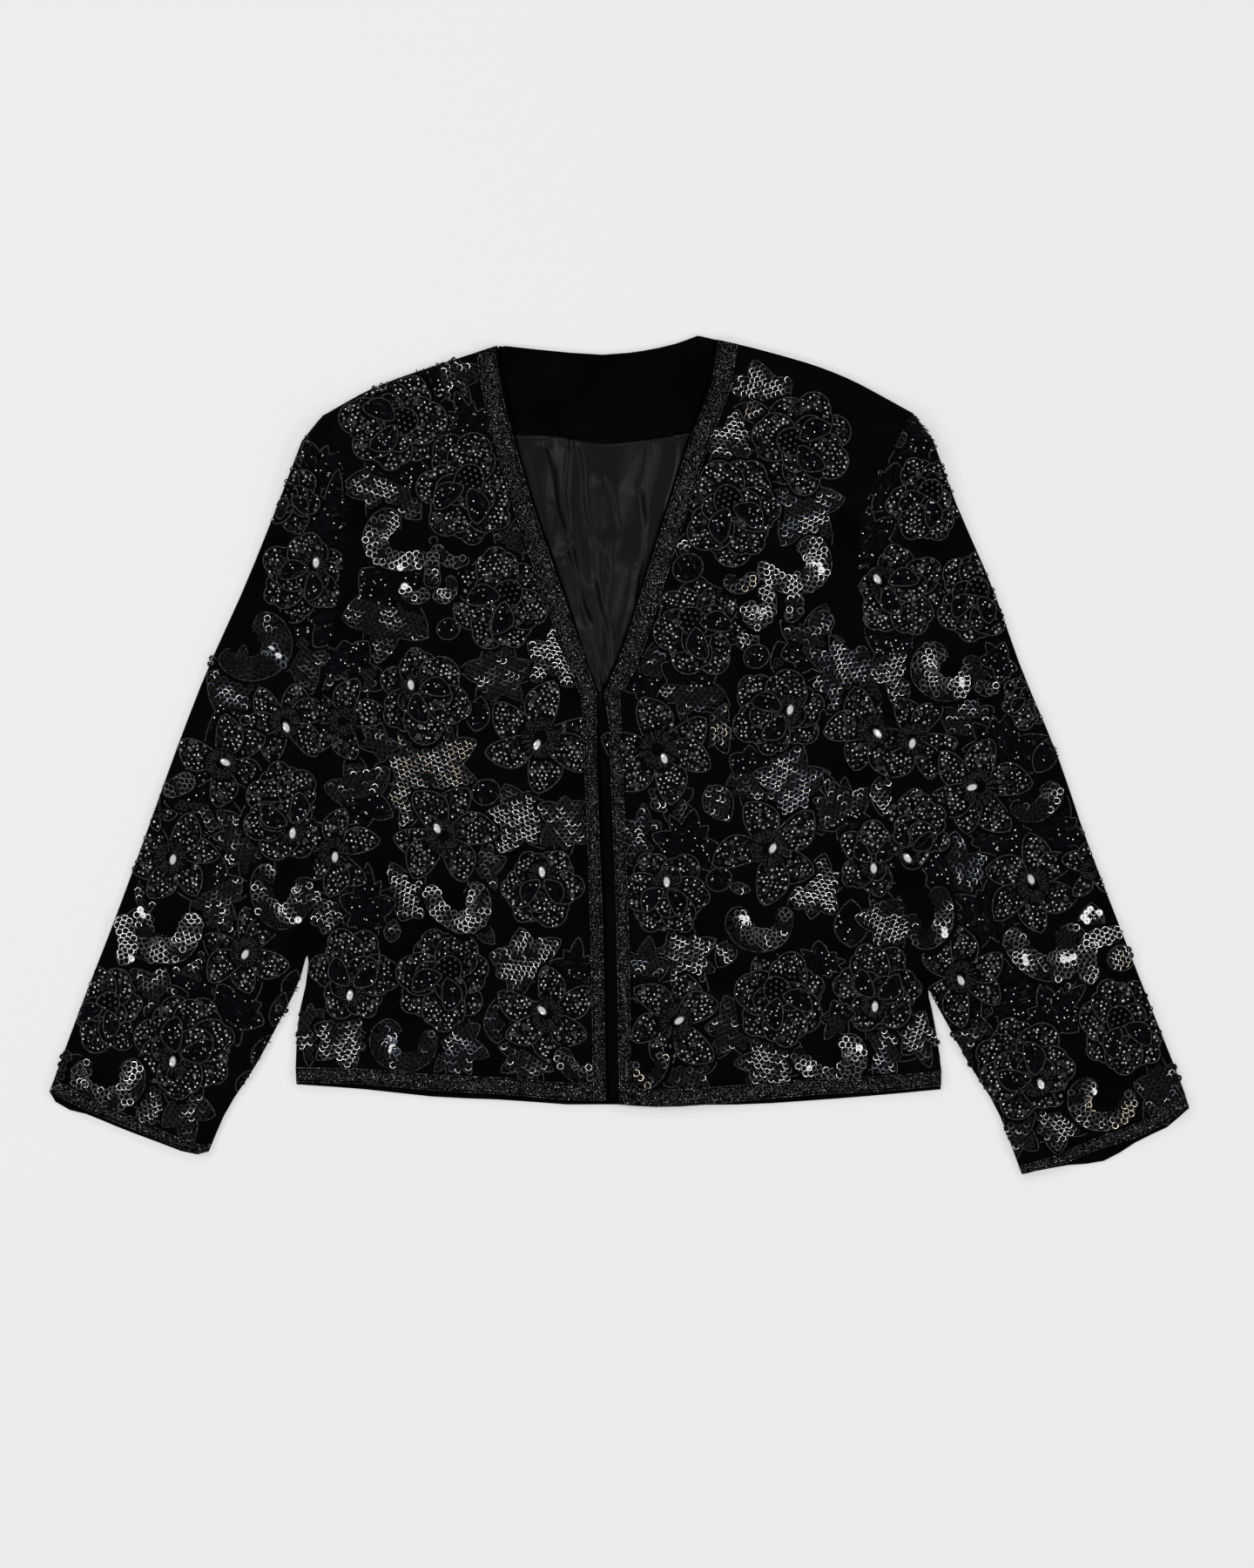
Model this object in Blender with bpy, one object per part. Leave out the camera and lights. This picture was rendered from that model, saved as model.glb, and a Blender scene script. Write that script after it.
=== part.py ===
"""A beaded evening jacket with no collar, laid out flat on its back.

The fronts almost meet, so that the back's facing and lining show in the V of the neck, and the sleeves
lie beside the body. Left and right are as seen in front of it. X runs across the jacket, Y from its
hem to its neck and Z up from the surface it lies on. The tables are in millimetres, as a pattern
cutter would note them, and MM turns them into Blender's metres.
"""
import math

import bmesh
import bpy
import numpy as np

MM = 0.001
OBJECT_NAME = "beaded_jacket"

# Walls and the gaps between pieces
BACK_WALL = 2.0
FRONT_WALL = 2.0
SLEEVE_WALL = 1.8
LINING_WALL = 1.0
FACING_WALL = 1.3
BAND_WALL = 1.1
SEAM_GAP = 0.3
ARMHOLE_GAP = 0.8
SIDE_GAP = 1.4
SLEEVE_SPREAD = 12.0

# How high the layers lie
FRONT_LOFT = 1.7
HEM_LOFT = 0.5
BODY_HEIGHT = BACK_WALL + SEAM_GAP + FRONT_LOFT + FRONT_WALL
CUFF_HEIGHT = 5.0
ROLL_WIDTH = 14.0
HEM_ROLL = 26.0
PAD_RISE = 8.0
PAD_ROLL = 28.0
PAD_DOWN = 70.0
PAD_ACROSS = 62.0
PAD_BELOW_TIP = 25.0
DEEPEST_TROUGH = 0.7
HEM_FOLD_LEAD = 8.0

# The beaded bands: width below the V and along the neck, and the plain edge left inside each
EDGE_BAND = 10.5
NECK_BAND = 16.0
HEM_BAND = 12.5
CUFF_BAND = 12.0
PLAIN_EDGE = {"left": (1.5, 2.0), "right": (8.0, 2.0)}
V_FRACTION = 0.5
V_BLEND = 0.05
BAND_CLEARANCE = 0.5

# The lining's place: its foot, the part of the V that it follows, how far it laps under the fronts and
# where its folds fade out at its sides and top
LINING_FOOT = 38.0
LINING_V = (50.0, 258.0)
LINING_LAP = 9.0
LINING_FADE = 15.0
LINING_TOP_FADE = (2.0, 22.0)

# The facing's place: in from the fronts and the neck, and how thin its rim is
FACING_INSET = 0.8
FACING_BELOW_NECK = 0.2
FACING_RIM = 0.7

# The sleeves: how their edges round over, as distance in and share of the height, and how they spread
# clear of the body below the armhole
SLEEVE_EDGE = ((0, 0), (0.8, 0.62), (3, 0.9), (9, 1))
SLEEVE_INSET_SLOPE = 0.35
SPREAD_SHARE = 0.45
SPREAD_BY = 0.08
SIDE_GAP_BY = 0.05
SLEEVE_FOLDS_BY = 0.12
SLEEVE_FOLD_FADE = (2.0, 20.0)
CUFF_FLATTENS = 0.9
LAST_SLEEVE_ROW = 0.955
BELOW_ARMPIT = 10.0

# Grid steps
FRONT_COLUMNS = 13
LOW_ROWS = 12
HIGH_ROWS = 12
BACK_COLUMNS = 20
BACK_ROWS = 12
SLEEVE_COLUMNS = 10
SLEEVE_ROWS = 22
LINING_COLUMNS = 16
LINING_ROWS = 12
LINE_SAMPLES = 24
BACK_HIGH_ROWS = 15
LOWEST_ROW = 0.14
SIDE_STEPS = (5.0, 14.0)
SHOULDER_STEPS = (34.0, 20.0, 10.0, 3.5)
FACING_ROWS = (0, 0.03, 0.25, 0.5, 0.75, 0.97, 1)
FACING_COLUMNS = 13
SHARP_ANGLE = 40.0

# Outlines, each row an x and a y, from the hem up or from the outside in
SIDE_SEAM = {
    "left": ((-258.5, -262), (-259, -245), (-257, -212), (-250.5, -182), (-248, -155), (-245, -93),
             (-240.5, 12)),
    "right": ((259, -265), (258.5, -243), (250.5, -198), (241, -163), (220, -86), (217.5, 12)),
}
ARMHOLE = {
    "left": ((-240.5, 12), (-236, 61), (-225, 131), (-218, 187), (-221, 236), (-237, 273)),
    "right": ((217.5, 12), (209, 50), (196, 103), (192, 159), (204, 217), (236, 275)),
}
SHOULDER = {
    "left": ((-237, 273), (-203, 292), (-175, 303.5), (-147, 313), (-119, 322), (-97, 329)),
    "right": ((236, 275), (217, 285.5), (189, 300.5), (161, 312), (133, 320.5), (105, 328), (78.5, 334)),
}
NECKLINE = {
    "left": ((-15, 50), (-29, 91), (-48, 147), (-67, 203), (-83, 259), (-92, 296), (-97, 329)),
    "right": ((-14, 50), (3.5, 91), (21, 147), (39, 203), (57, 259), (71, 292), (78.5, 334)),
}
FRONT_EDGE = {
    "left": ((-8.5, -277), (-11, -130), (-16, 7), (-15, 50)),
    "right": ((-7.5, -279), (-10, -130), (-15, 7), (-14, 50)),
}
FRONT_HEM = {
    "left": ((-258.5, -262), (-203, -264), (-147, -269), (-91, -272), (-50, -276), (-8.5, -277)),
    "right": ((259, -265), (217, -269), (161, -272), (105, -277), (49, -281.5), (20, -281.5), (-7.5, -279)),
}
BACK_HEM = ((-258.5, -264), (-203, -268), (-147, -274), (-91, -276.5), (-35, -280.5), (-7, -280),
            (49, -280.5), (105, -280), (161, -276.5), (217, -272), (259, -268))
BACK_NECK = ((-97, 329), (-63, 326), (-14, 322), (21, 325), (49, 331), (66, 337.5), (78.5, 334))
FACING_EDGE = ((-85, 258), (-45, 256.5), (-16, 251), (15, 253), (58, 261))
SLEEVE_OUTER = {
    "left": ((-247, 265), (-254, 253), (-273, 203), (-300, 136), (-330, 69), (-356, 2), (-380, -65), (-405, -133),
             (-431, -200), (-457, -270)),
    "right": ((246, 266), (253, 253), (271, 203), (300, 136), (324, 69), (352, 2), (375, -65), (401, -133),
              (427, -200), (452, -263), (458.5, -283)),
}
SLEEVE_LEAVES_BODY = {"left": -164, "right": -190}
SLEEVE_INNER = {
    "left": ((-257, -183), (-274, -217), (-292, -250), (-314, -284), (-329, -318)),
    "right": ((265, -217), (283, -250), (304, -284), (324, -336)),
}
CUFF_FRONT = {
    "left": ((-457, -270), (-427, -284.5), (-399, -296), (-371, -307.5), (-343, -318), (-329, -318)),
    "right": ((458.5, -283), (422, -304), (395.5, -312.5), (374.5, -320), (359, -327), (324, -336)),
}
CUFF_BACK = {
    "left": ((-457, -270), (-448, -282), (-427, -288), (-399, -299.5), (-371, -310), (-343, -320), (-329, -318)),
    "right": ((458.5, -283), (440, -299), (420, -308), (390, -325.5), (360.5, -329), (324, -336)),
}

# Soft folds: middle x and y, turn in degrees from the X axis, half length, half width, height
FRONT_FOLDS = {
    "left": (
        (-205, 20, 62, 60, 13, 1.2),
        (-180, -60, 80, 70, 16, -0.7),
        (-120, -225, 84, 55, 17, 1.1),
        (-60, -215, 95, 60, 15, -0.8),
        (-150, 90, 35, 70, 18, 0.9),
        (-95, 190, 70, 60, 14, -0.6),
    ),
    "right": (
        (182, 10, 115, 60, 13, 1.3),
        (150, -70, 97, 75, 16, -0.7),
        (62, -225, 92, 60, 15, 1.3),
        (112, -230, 86, 50, 14, -0.8),
        (30, -120, 88, 80, 15, 0.7),
        (120, 120, 140, 70, 18, 0.8),
    ),
}
SLEEVE_FOLDS = {
    "left": (
        (-262, 30, 50, 42, 11, 1.2),
        (-300, -20, 36, 55, 12, -0.8),
        (-318, -95, 62, 60, 12, 1.1),
        (-372, -150, 68, 55, 13, -0.7),
        (-350, -235, 72, 50, 14, 0.8),
    ),
    "right": (
        (248, 30, 128, 42, 11, 1.2),
        (282, -30, 142, 55, 12, -0.8),
        (312, -100, 118, 60, 12, 1.2),
        (360, -160, 112, 60, 13, -0.8),
        (372, -245, 108, 50, 14, 1.0),
    ),
}
LINING_FOLDS = (
    (-50, 190, 84, 70, 7, 1.3),
    (-34, 170, 100, 85, 6, 1.7),
    (-12, 130, 92, 75, 6, 1.9),
    (10, 200, 78, 50, 6, 1.2),
    (24, 165, 74, 55, 7, 1.5),
    (-2, 95, 82, 45, 5, 1.1),
)

COLOURS = {
    "velvet": ((0.004, 0.004, 0.006, 1), 0.85, 0.0),
    "satin": ((0.017, 0.017, 0.019, 1), 0.45, 0.0),
    "beads": ((0.03, 0.03, 0.034, 1), 0.3, 0.2),
}


def clear_scene():
    for obj in list(bpy.data.objects):
        bpy.data.objects.remove(obj, do_unlink=True)


def material(name):
    made = bpy.data.materials.new(name)
    made.use_nodes = True
    colour, roughness, metallic = COLOURS[name.split(".")[0]]
    shader = made.node_tree.nodes["Principled BSDF"]
    shader.inputs["Base Color"].default_value = colour
    shader.inputs["Roughness"].default_value = roughness
    shader.inputs["Metallic"].default_value = metallic
    return made


def smooth_line(points):
    """A function that gives the place at a share, 0 to 1, of the length of a smooth line through the points."""
    knots = np.array(points, float)
    ends = np.vstack([2 * knots[0] - knots[1], knots, 2 * knots[-1] - knots[-2]])
    steps = np.linspace(0, 1, LINE_SAMPLES, endpoint=False)[:, None]
    dense = []
    for a, b, c, d in zip(ends, ends[1:], ends[2:], ends[3:]):
        dense.append(0.5 * (2 * b + (c - a) * steps + (2 * a - 5 * b + 4 * c - d) * steps**2
                            + (3 * b - a - 3 * c + d) * steps**3))
    dense = np.vstack([*dense, knots[-1:]])
    along = np.concatenate([[0], np.cumsum(np.hypot(*np.diff(dense, axis=0).T))])

    def place(share):
        at = share * along[-1]
        return np.array([np.interp(at, along, dense[:, 0]), np.interp(at, along, dense[:, 1])])

    place.length = along[-1]
    place.dense = dense
    return place


def two_part(lower, upper):
    """One line of 0 to 1 from two that meet at its middle, such as a side seam and an armhole."""
    def place(share):
        return lower(2 * share) if share < V_FRACTION else upper(2 * share - 1)

    return place


def patch(bottom, top, left, right):
    """Fills four lines that meet at their ends: a function of the shares across and up."""
    def place(across, up):
        between_sides = (1 - across) * left(up) + across * right(up)
        between_ends = (1 - up) * bottom(across) + up * top(across)
        low = (1 - across) * bottom(0) + across * bottom(1)
        high = (1 - across) * top(0) + across * top(1)
        return between_sides + between_ends - (1 - up) * low - up * high

    return place


def blend(share, start, end):
    """A soft step from 0 to 1 between start and end."""
    t = min(max((share - start) / (end - start), 0), 1)
    return t * t * (3 - 2 * t)


def rounded(distance, width):
    """The height of a quarter-round edge, 0 at the edge and 1 at its width."""
    t = min(max(distance / width, 0), 1)
    return math.sqrt(1 - (1 - t) ** 2)


def distance_to(line, x, y):
    """The distance from a place to a smooth line."""
    start, end = line.dense[:-1], line.dense[1:]
    run = end - start
    t = np.clip(((np.array([x, y]) - start) * run).sum(axis=1) / (run**2).sum(axis=1), 0, 1)
    return float(np.hypot(*(start + t[:, None] * run - [x, y]).T).min())


def folded(x, y, folds):
    """The height that a table of soft ridges and troughs adds at a place."""
    height = 0.0
    for mid_x, mid_y, turn, half_length, half_width, rise in folds:
        turn = math.radians(turn)
        along = (x - mid_x) * math.cos(turn) + (y - mid_y) * math.sin(turn)
        across = (y - mid_y) * math.cos(turn) - (x - mid_x) * math.sin(turn)
        height += rise * math.exp(-((along / half_length) ** 2) - (across / half_width) ** 2)
    return height


def padding(x, y, side):
    """What the shoulder pad adds, most beside the shoulder point."""
    tip_x, tip_y = SHOULDER[side][0]
    return PAD_RISE * math.exp(-(((x - tip_x) / PAD_ACROSS) ** 2) - ((y - tip_y + PAD_BELOW_TIP) / PAD_DOWN) ** 2)


LINES = {
    name: {side: smooth_line(points) for side, points in table.items()}
    for name, table in (("side", SIDE_SEAM), ("armhole", ARMHOLE), ("shoulder", SHOULDER),
                        ("neckline", NECKLINE), ("edge", FRONT_EDGE), ("hem", FRONT_HEM))
}


def mesh_object(name, points, faces, colour, group):
    """An object of one closed mesh, its points in millimetres."""
    mesh = bpy.data.meshes.new(name)
    mesh.from_pydata([tuple(MM * float(c) for c in point) for point in points], [], faces)
    shape = bmesh.new()
    shape.from_mesh(mesh)
    bmesh.ops.recalc_face_normals(shape, faces=shape.faces)
    shape.to_mesh(mesh)
    shape.free()
    mesh.shade_smooth()
    mesh.set_sharp_from_angle(angle=math.radians(SHARP_ANGLE))
    mesh.materials.append(material(colour + "." + name))
    obj = bpy.data.objects.new(name, mesh)
    group.objects.link(obj)
    return obj


def wall(name, under, over, colour, group):
    """A closed wall between two grids of points that have the same rows and columns."""
    rows, columns = len(under), len(under[0])
    points = [p for grid in (under, over) for row in grid for p in row]

    def at(layer, row, column):
        return (layer * rows + row) * columns + column

    faces = []
    for layer in (0, 1):
        for r in range(rows - 1):
            for c in range(columns - 1):
                faces.append((at(layer, r, c), at(layer, r, c + 1), at(layer, r + 1, c + 1), at(layer, r + 1, c)))
    rim = [(0, c) for c in range(columns)]
    rim += [(r, columns - 1) for r in range(1, rows)]
    rim += [(rows - 1, c) for c in range(columns - 2, -1, -1)]
    rim += [(r, 0) for r in range(rows - 2, 0, -1)]
    for (r0, c0), (r1, c1) in zip(rim, rim[1:] + rim[:1]):
        faces.append((at(0, r0, c0), at(0, r1, c1), at(1, r1, c1), at(1, r0, c0)))
    return mesh_object(name, points, faces, colour, group)


def on_top(grid, thickness):
    """The two grids of a piece that lies on the given one, made from its points moved up."""
    under = [[(x, y, z + SEAM_GAP) for x, y, z in row] for row in grid]
    over = [[(x, y, z + thickness) for x, y, z in row] for row in under]
    return under, over


def row_shares(side):
    """The rows of a front, as shares of its height: the hem band, the body, the chest and the rolled shoulder."""
    low_length = LINES["side"][side].length
    high_length = LINES["armhole"][side].length
    low = [0, HEM_BAND / low_length, *np.linspace(LOWEST_ROW, 1, LOW_ROWS)]
    near_shoulder = [1 - step / high_length for step in SHOULDER_STEPS]
    high = [*np.linspace(1 / HIGH_ROWS, near_shoulder[0], HIGH_ROWS - 1), *near_shoulder[1:], 1]
    return [V_FRACTION * f for f in low] + [V_FRACTION + (1 - V_FRACTION) * f for f in high]


def band_place(side, up):
    """Where the front band begins and ends, measured in from the front's edge."""
    step = blend(up, V_FRACTION - V_BLEND, V_FRACTION + V_BLEND)
    plain_low, plain_high = PLAIN_EDGE[side]
    start = plain_low + (plain_high - plain_low) * blend(up, V_FRACTION - V_BLEND, V_FRACTION + 0.01)
    return start, start + EDGE_BAND + (NECK_BAND - EDGE_BAND) * step


def front_heights(x, y, side):
    """The z of a front's inner and outer face at a place."""
    seam = min(distance_to(LINES["side"][side], x, y), distance_to(LINES["shoulder"][side], x, y))
    hem = distance_to(LINES["hem"][side], x, y)
    from_seam = rounded(seam, ROLL_WIDTH)
    loft = FRONT_LOFT * from_seam * (HEM_LOFT + (1 - HEM_LOFT) * rounded(hem, HEM_ROLL))
    fold = folded(x, y, FRONT_FOLDS[side]) * from_seam * rounded(hem + HEM_FOLD_LEAD, HEM_ROLL)
    inner = BACK_WALL + SEAM_GAP + loft + max(fold, -DEEPEST_TROUGH)
    shoulder = distance_to(LINES["shoulder"][side], x, y)
    return inner, inner + FRONT_WALL + padding(x, y, side) * rounded(shoulder, PAD_ROLL)


def front_grid(side):
    """A front's inner and outer points. Columns run from the side to the front edge, rows from the hem up."""
    lines = {name: LINES[name][side] for name in LINES}
    place = patch(lines["hem"], lines["shoulder"], two_part(lines["side"], lines["armhole"]),
                  two_part(lines["edge"], lines["neckline"]))
    inner, outer = [], []
    for up in row_shares(side):
        width = float(np.hypot(*(place(1, up) - place(0, up))))
        start, end = band_place(side, up)
        shares = [0, *(step / width for step in SIDE_STEPS)]
        shares += [*np.linspace(shares[-1], 1 - end / width, FRONT_COLUMNS)[1:]]
        shares += [1 - start / width, 1]
        inner_row, outer_row = [], []
        for across in shares:
            x, y = place(across, up)
            low, high = front_heights(x, y, side)
            inner_row.append((x, y, low))
            outer_row.append((x, y, high))
        inner.append(inner_row)
        outer.append(outer_row)
    return inner, outer


def build_front(side, group):
    inner, outer = front_grid(side)
    wall(f"front_{side}", inner, outer, "velvet", group)
    edge_columns = [row[-3:-1] for row in outer]
    wall(f"neck_band_{side}", *on_top(edge_columns, BAND_WALL), "beads", group)
    step_aside = BAND_CLEARANCE if side == "right" else -BAND_CLEARANCE
    hem = []
    for row in outer[:2]:
        x, y, z = row[-3]
        hem.append([*row[:-3], (x + step_aside, y, z)])
    wall(f"hem_band_{side}", *on_top(hem, BAND_WALL), "beads", group)


def build_back(group):
    """The back, flat on the surface, a little longer than the fronts."""
    top_line = [*SHOULDER["left"], *BACK_NECK[1:-1], *SHOULDER["right"][::-1]]
    sides = {}
    for side, hem_end in (("left", BACK_HEM[0]), ("right", BACK_HEM[-1])):
        seam = smooth_line((hem_end, *SIDE_SEAM[side][1:]))
        sides[side] = two_part(seam, LINES["armhole"][side])
    place = patch(smooth_line(BACK_HEM), smooth_line(top_line), sides["left"], sides["right"])
    rows = [*np.linspace(0, V_FRACTION, BACK_ROWS), *np.linspace(V_FRACTION, 1, BACK_HIGH_ROWS)[1:]]
    under, over = [], []
    for up in rows:
        line = [place(across, up) for across in np.linspace(0, 1, BACK_COLUMNS)]
        under.append([(x, y, 0.0) for x, y in line])
        over.append([(x, y, BACK_WALL) for x, y in line])
    wall("back", under, over, "velvet", group)


def neck_width(y, inset):
    """The x of both sides of the V at a height, taken out by inset under the fronts."""
    found = []
    for side, way in (("left", -1), ("right", 1)):
        dense = LINES["neckline"][side].dense
        found.append(float(np.interp(y, dense[:, 1], dense[:, 0])) + way * inset)
    return found


def build_back_lining(group):
    """The lining in the V of the neck. It goes on a little under the fronts and lies in long soft folds."""
    edge = smooth_line(FACING_EDGE)
    under, over = [], []
    for up in np.linspace(0, 1, LINING_ROWS):
        under_row, over_row = [], []
        for across in np.linspace(0, 1, LINING_COLUMNS):
            top_y = edge(across)[1] - SEAM_GAP
            y = LINING_FOOT + (top_y - LINING_FOOT) * up
            left, right = neck_width(min(max(y, LINING_V[0]), LINING_V[1]), LINING_LAP)
            x = left + (right - left) * across
            open_part = blend(min(x - left, right - x), LINING_LAP, LINING_LAP + LINING_FADE)
            fold = max(folded(x, y, LINING_FOLDS), 0) * open_part * blend(top_y - y, *LINING_TOP_FADE)
            z = BACK_WALL + SEAM_GAP + fold
            under_row.append((x, y, z))
            over_row.append((x, y, z + LINING_WALL))
        under.append(under_row)
        over.append(over_row)
    wall("back_lining", under, over, "satin", group)


def build_facing(group):
    """The velvet facing inside the back of the neck, between the two fronts."""
    edge, neck = smooth_line(FACING_EDGE), smooth_line(BACK_NECK)
    under, over = [], []
    for up in FACING_ROWS:
        under_row, over_row = [], []
        for across in np.linspace(0, 1, FACING_COLUMNS):
            low_y, high_y = edge(across)[1], neck(across)[1] - FACING_BELOW_NECK
            y = low_y + (high_y - low_y) * up
            left, right = neck_width(y, -FACING_INSET)
            x = left + (right - left) * across
            z = BACK_WALL + SEAM_GAP
            under_row.append((x, y, z))
            over_row.append((x, y, z + FACING_WALL * (FACING_RIM if up in (0, 1) else 1)))
        under.append(under_row)
        over.append(over_row)
    wall("back_neck_facing", under, over, "velvet", group)


def clear_of_body(x, y, side, least):
    """The x of a place on a sleeve, moved out where the body that it lies beside is nearer than the least."""
    if y < SLEEVE_LEAVES_BODY[side]:
        return x
    way = -1 if side == "left" else 1
    body = np.vstack([LINES["side"][side].dense, LINES["armhole"][side].dense])
    edge = way * float(np.interp(y, body[:, 1], body[:, 0]))
    return way * max(way * x, edge + least)


def sleeve_columns(width):
    """Places across a flattened sleeve as (distance from the outer edge, share of the height)."""
    flat = SLEEVE_EDGE[-1][0]
    middle = [(d, 1) for d in np.linspace(flat, width - flat, SLEEVE_COLUMNS)[1:-1]]
    return [*SLEEVE_EDGE, *middle, *((width - d, lift) for d, lift in reversed(SLEEVE_EDGE))]


def sleeve_rings(side):
    """Rings of points round a sleeve, from armhole to cuff: its outer face and its inner face."""
    way = -1 if side == "left" else 1
    armhole = smooth_line([(x + way * ARMHOLE_GAP, y) for x, y in reversed(ARMHOLE[side])])
    outer_edge = smooth_line((armhole(0), *SLEEVE_OUTER[side]))
    body_side = [place for place in LINES["side"][side].dense[::-LINE_SAMPLES // 4]
                 if SLEEVE_LEAVES_BODY[side] < place[1] < armhole(1)[1] - BELOW_ARMPIT]
    beside_body = [(x + way * SIDE_GAP, y) for x, y in body_side]
    inner_edge = smooth_line((armhole(1), *beside_body, *SLEEVE_INNER[side]))
    front = patch(armhole, smooth_line(CUFF_FRONT[side]), outer_edge, inner_edge)
    back = patch(armhole, smooth_line(CUFF_BACK[side]), outer_edge, inner_edge)
    band_share = 1 - CUFF_BAND / outer_edge.length
    shares = [*np.linspace(0, LAST_SLEEVE_ROW, SLEEVE_ROWS), band_share, 1]

    def place(sheet, distance, width, along):
        x, y = sheet(distance / width, along)
        if along > 0:
            spread = min(SPREAD_SHARE * (width - distance), SLEEVE_SPREAD) * blend(along, 0, SPREAD_BY)
            gap = ARMHOLE_GAP + (SIDE_GAP - ARMHOLE_GAP) * blend(along, 0, SIDE_GAP_BY)
            x = clear_of_body(x, y, side, gap + spread)
        return x, y

    outer, inner = [], []
    for along in shares:
        width = float(np.hypot(*(front(1, along) - front(0, along))))
        columns = sleeve_columns(width)
        height = BODY_HEIGHT + (CUFF_HEIGHT - BODY_HEIGHT) * blend(along, CUFF_FLATTENS, 1)
        rings = ([], [])
        for order, sheet in ((columns, front), (columns[-2:0:-1], back)):
            for distance, lift in order:
                x, y = place(sheet, distance, width, along)
                edge_distance = min(distance, width - distance)
                rise = folded(x, y, SLEEVE_FOLDS[side]) * blend(edge_distance, *SLEEVE_FOLD_FADE)
                rise *= blend(along, 0, SLEEVE_FOLDS_BY)
                pad = padding(x, y, side) * lift
                top = height + max(rise, -DEEPEST_TROUGH) + pad
                middle = height / 2
                z = middle + (top - middle) * lift if sheet is front else middle - middle * lift
                rings[0].append((x, y, z))
                inset = max(edge_distance, SLEEVE_WALL + SLEEVE_INSET_SLOPE * edge_distance)
                if distance > width / 2:
                    inset = width - inset
                x, y = place(sheet, inset, width, along)
                ceiling, floor = top - SLEEVE_WALL - pad, SLEEVE_WALL
                if sheet is front:
                    z = middle + (ceiling - middle) * lift
                else:
                    z = middle + (floor - middle) * lift
                rings[1].append((x, y, z))
        outer.append(rings[0])
        inner.append(rings[1])
    return outer, inner


def build_sleeve(side, group):
    """A sleeve as a flattened tube, open at the armhole and the cuff, with the beaded band of its cuff."""
    outer, inner = sleeve_rings(side)
    rows, count = len(outer), len(outer[0])
    points = [p for rings in (outer, inner) for ring in rings for p in ring]

    def at(layer, row, column):
        return (layer * rows + row) * count + column % count

    faces = []
    for layer in (0, 1):
        for r in range(rows - 1):
            for c in range(count):
                faces.append((at(layer, r, c), at(layer, r, c + 1), at(layer, r + 1, c + 1), at(layer, r + 1, c)))
    for r in (0, rows - 1):
        for c in range(count):
            faces.append((at(0, r, c), at(0, r, c + 1), at(1, r, c + 1), at(1, r, c)))
    mesh_object(f"sleeve_{side}", points, faces, "velvet", group)
    upper = count // 2 + 1
    cuff = [ring[1:upper - 1] for ring in outer[-2:]]
    wall(f"cuff_band_{side}", *on_top(cuff, BAND_WALL), "beads", group)


def centre_over_origin(group):
    """Moves all pieces together, so that the middle of their box stands over the origin."""
    corners = np.array([v.co for obj in group.objects for v in obj.data.vertices])
    low, high = corners.min(axis=0), corners.max(axis=0)
    for obj in group.objects:
        for vertex in obj.data.vertices:
            vertex.co.x -= (low[0] + high[0]) / 2
            vertex.co.y -= (low[1] + high[1]) / 2


def main():
    clear_scene()
    group = bpy.data.collections.new(OBJECT_NAME)
    bpy.context.scene.collection.children.link(group)
    build_back(group)
    build_back_lining(group)
    build_facing(group)
    for side in ("left", "right"):
        build_front(side, group)
        build_sleeve(side, group)
    centre_over_origin(group)


main()
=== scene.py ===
"""A sequin jacket laid out flat: its velvet, its satin lining, and the beads and sequins sewn on it.

The embroidery is made of a few motifs: peonies, pointed star flowers, leaves, discs and scrolls. Each is
a formula for some outlines, and the tables say where each lies, how large it is and how it is filled. The
tables are in millimetres in the part's frame, with X to the right, Y from the hem to the neck and Z up.
Left and right are as seen from the front. Beads and sequins are copies of small shapes, placed on the
cloth under them and joined to one mesh for each panel and kind.
"""
import math

import bmesh
import bpy
import numpy as np
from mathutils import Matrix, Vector
from mathutils.bvhtree import BVHTree
from mathutils.kdtree import KDTree


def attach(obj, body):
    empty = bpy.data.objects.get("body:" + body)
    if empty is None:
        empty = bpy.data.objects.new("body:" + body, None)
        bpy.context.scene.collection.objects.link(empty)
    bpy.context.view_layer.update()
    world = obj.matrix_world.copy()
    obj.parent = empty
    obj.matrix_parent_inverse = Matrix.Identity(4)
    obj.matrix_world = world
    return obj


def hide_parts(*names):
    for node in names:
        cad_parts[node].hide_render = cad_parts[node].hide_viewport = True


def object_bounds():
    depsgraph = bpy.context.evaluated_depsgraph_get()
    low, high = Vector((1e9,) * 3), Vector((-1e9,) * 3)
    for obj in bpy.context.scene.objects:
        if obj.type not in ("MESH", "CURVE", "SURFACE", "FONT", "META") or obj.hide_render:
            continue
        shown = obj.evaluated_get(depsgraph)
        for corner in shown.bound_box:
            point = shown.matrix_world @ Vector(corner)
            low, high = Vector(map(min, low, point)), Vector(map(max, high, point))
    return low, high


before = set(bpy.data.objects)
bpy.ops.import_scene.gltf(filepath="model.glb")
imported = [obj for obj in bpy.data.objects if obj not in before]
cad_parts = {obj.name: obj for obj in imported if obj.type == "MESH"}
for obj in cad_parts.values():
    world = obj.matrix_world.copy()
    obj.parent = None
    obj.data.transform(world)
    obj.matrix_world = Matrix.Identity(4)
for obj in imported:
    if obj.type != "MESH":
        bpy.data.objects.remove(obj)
cad_low, cad_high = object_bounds()
MM = 0.001
SIDES = ("left", "right")

# The camera looks straight down on the middle of the photograph's view
VIEW_CENTRE = (6.2, -23.4)
VIEW_HEIGHT = 1260.0
LENS = 85.0
SENSOR = 36.0

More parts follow.
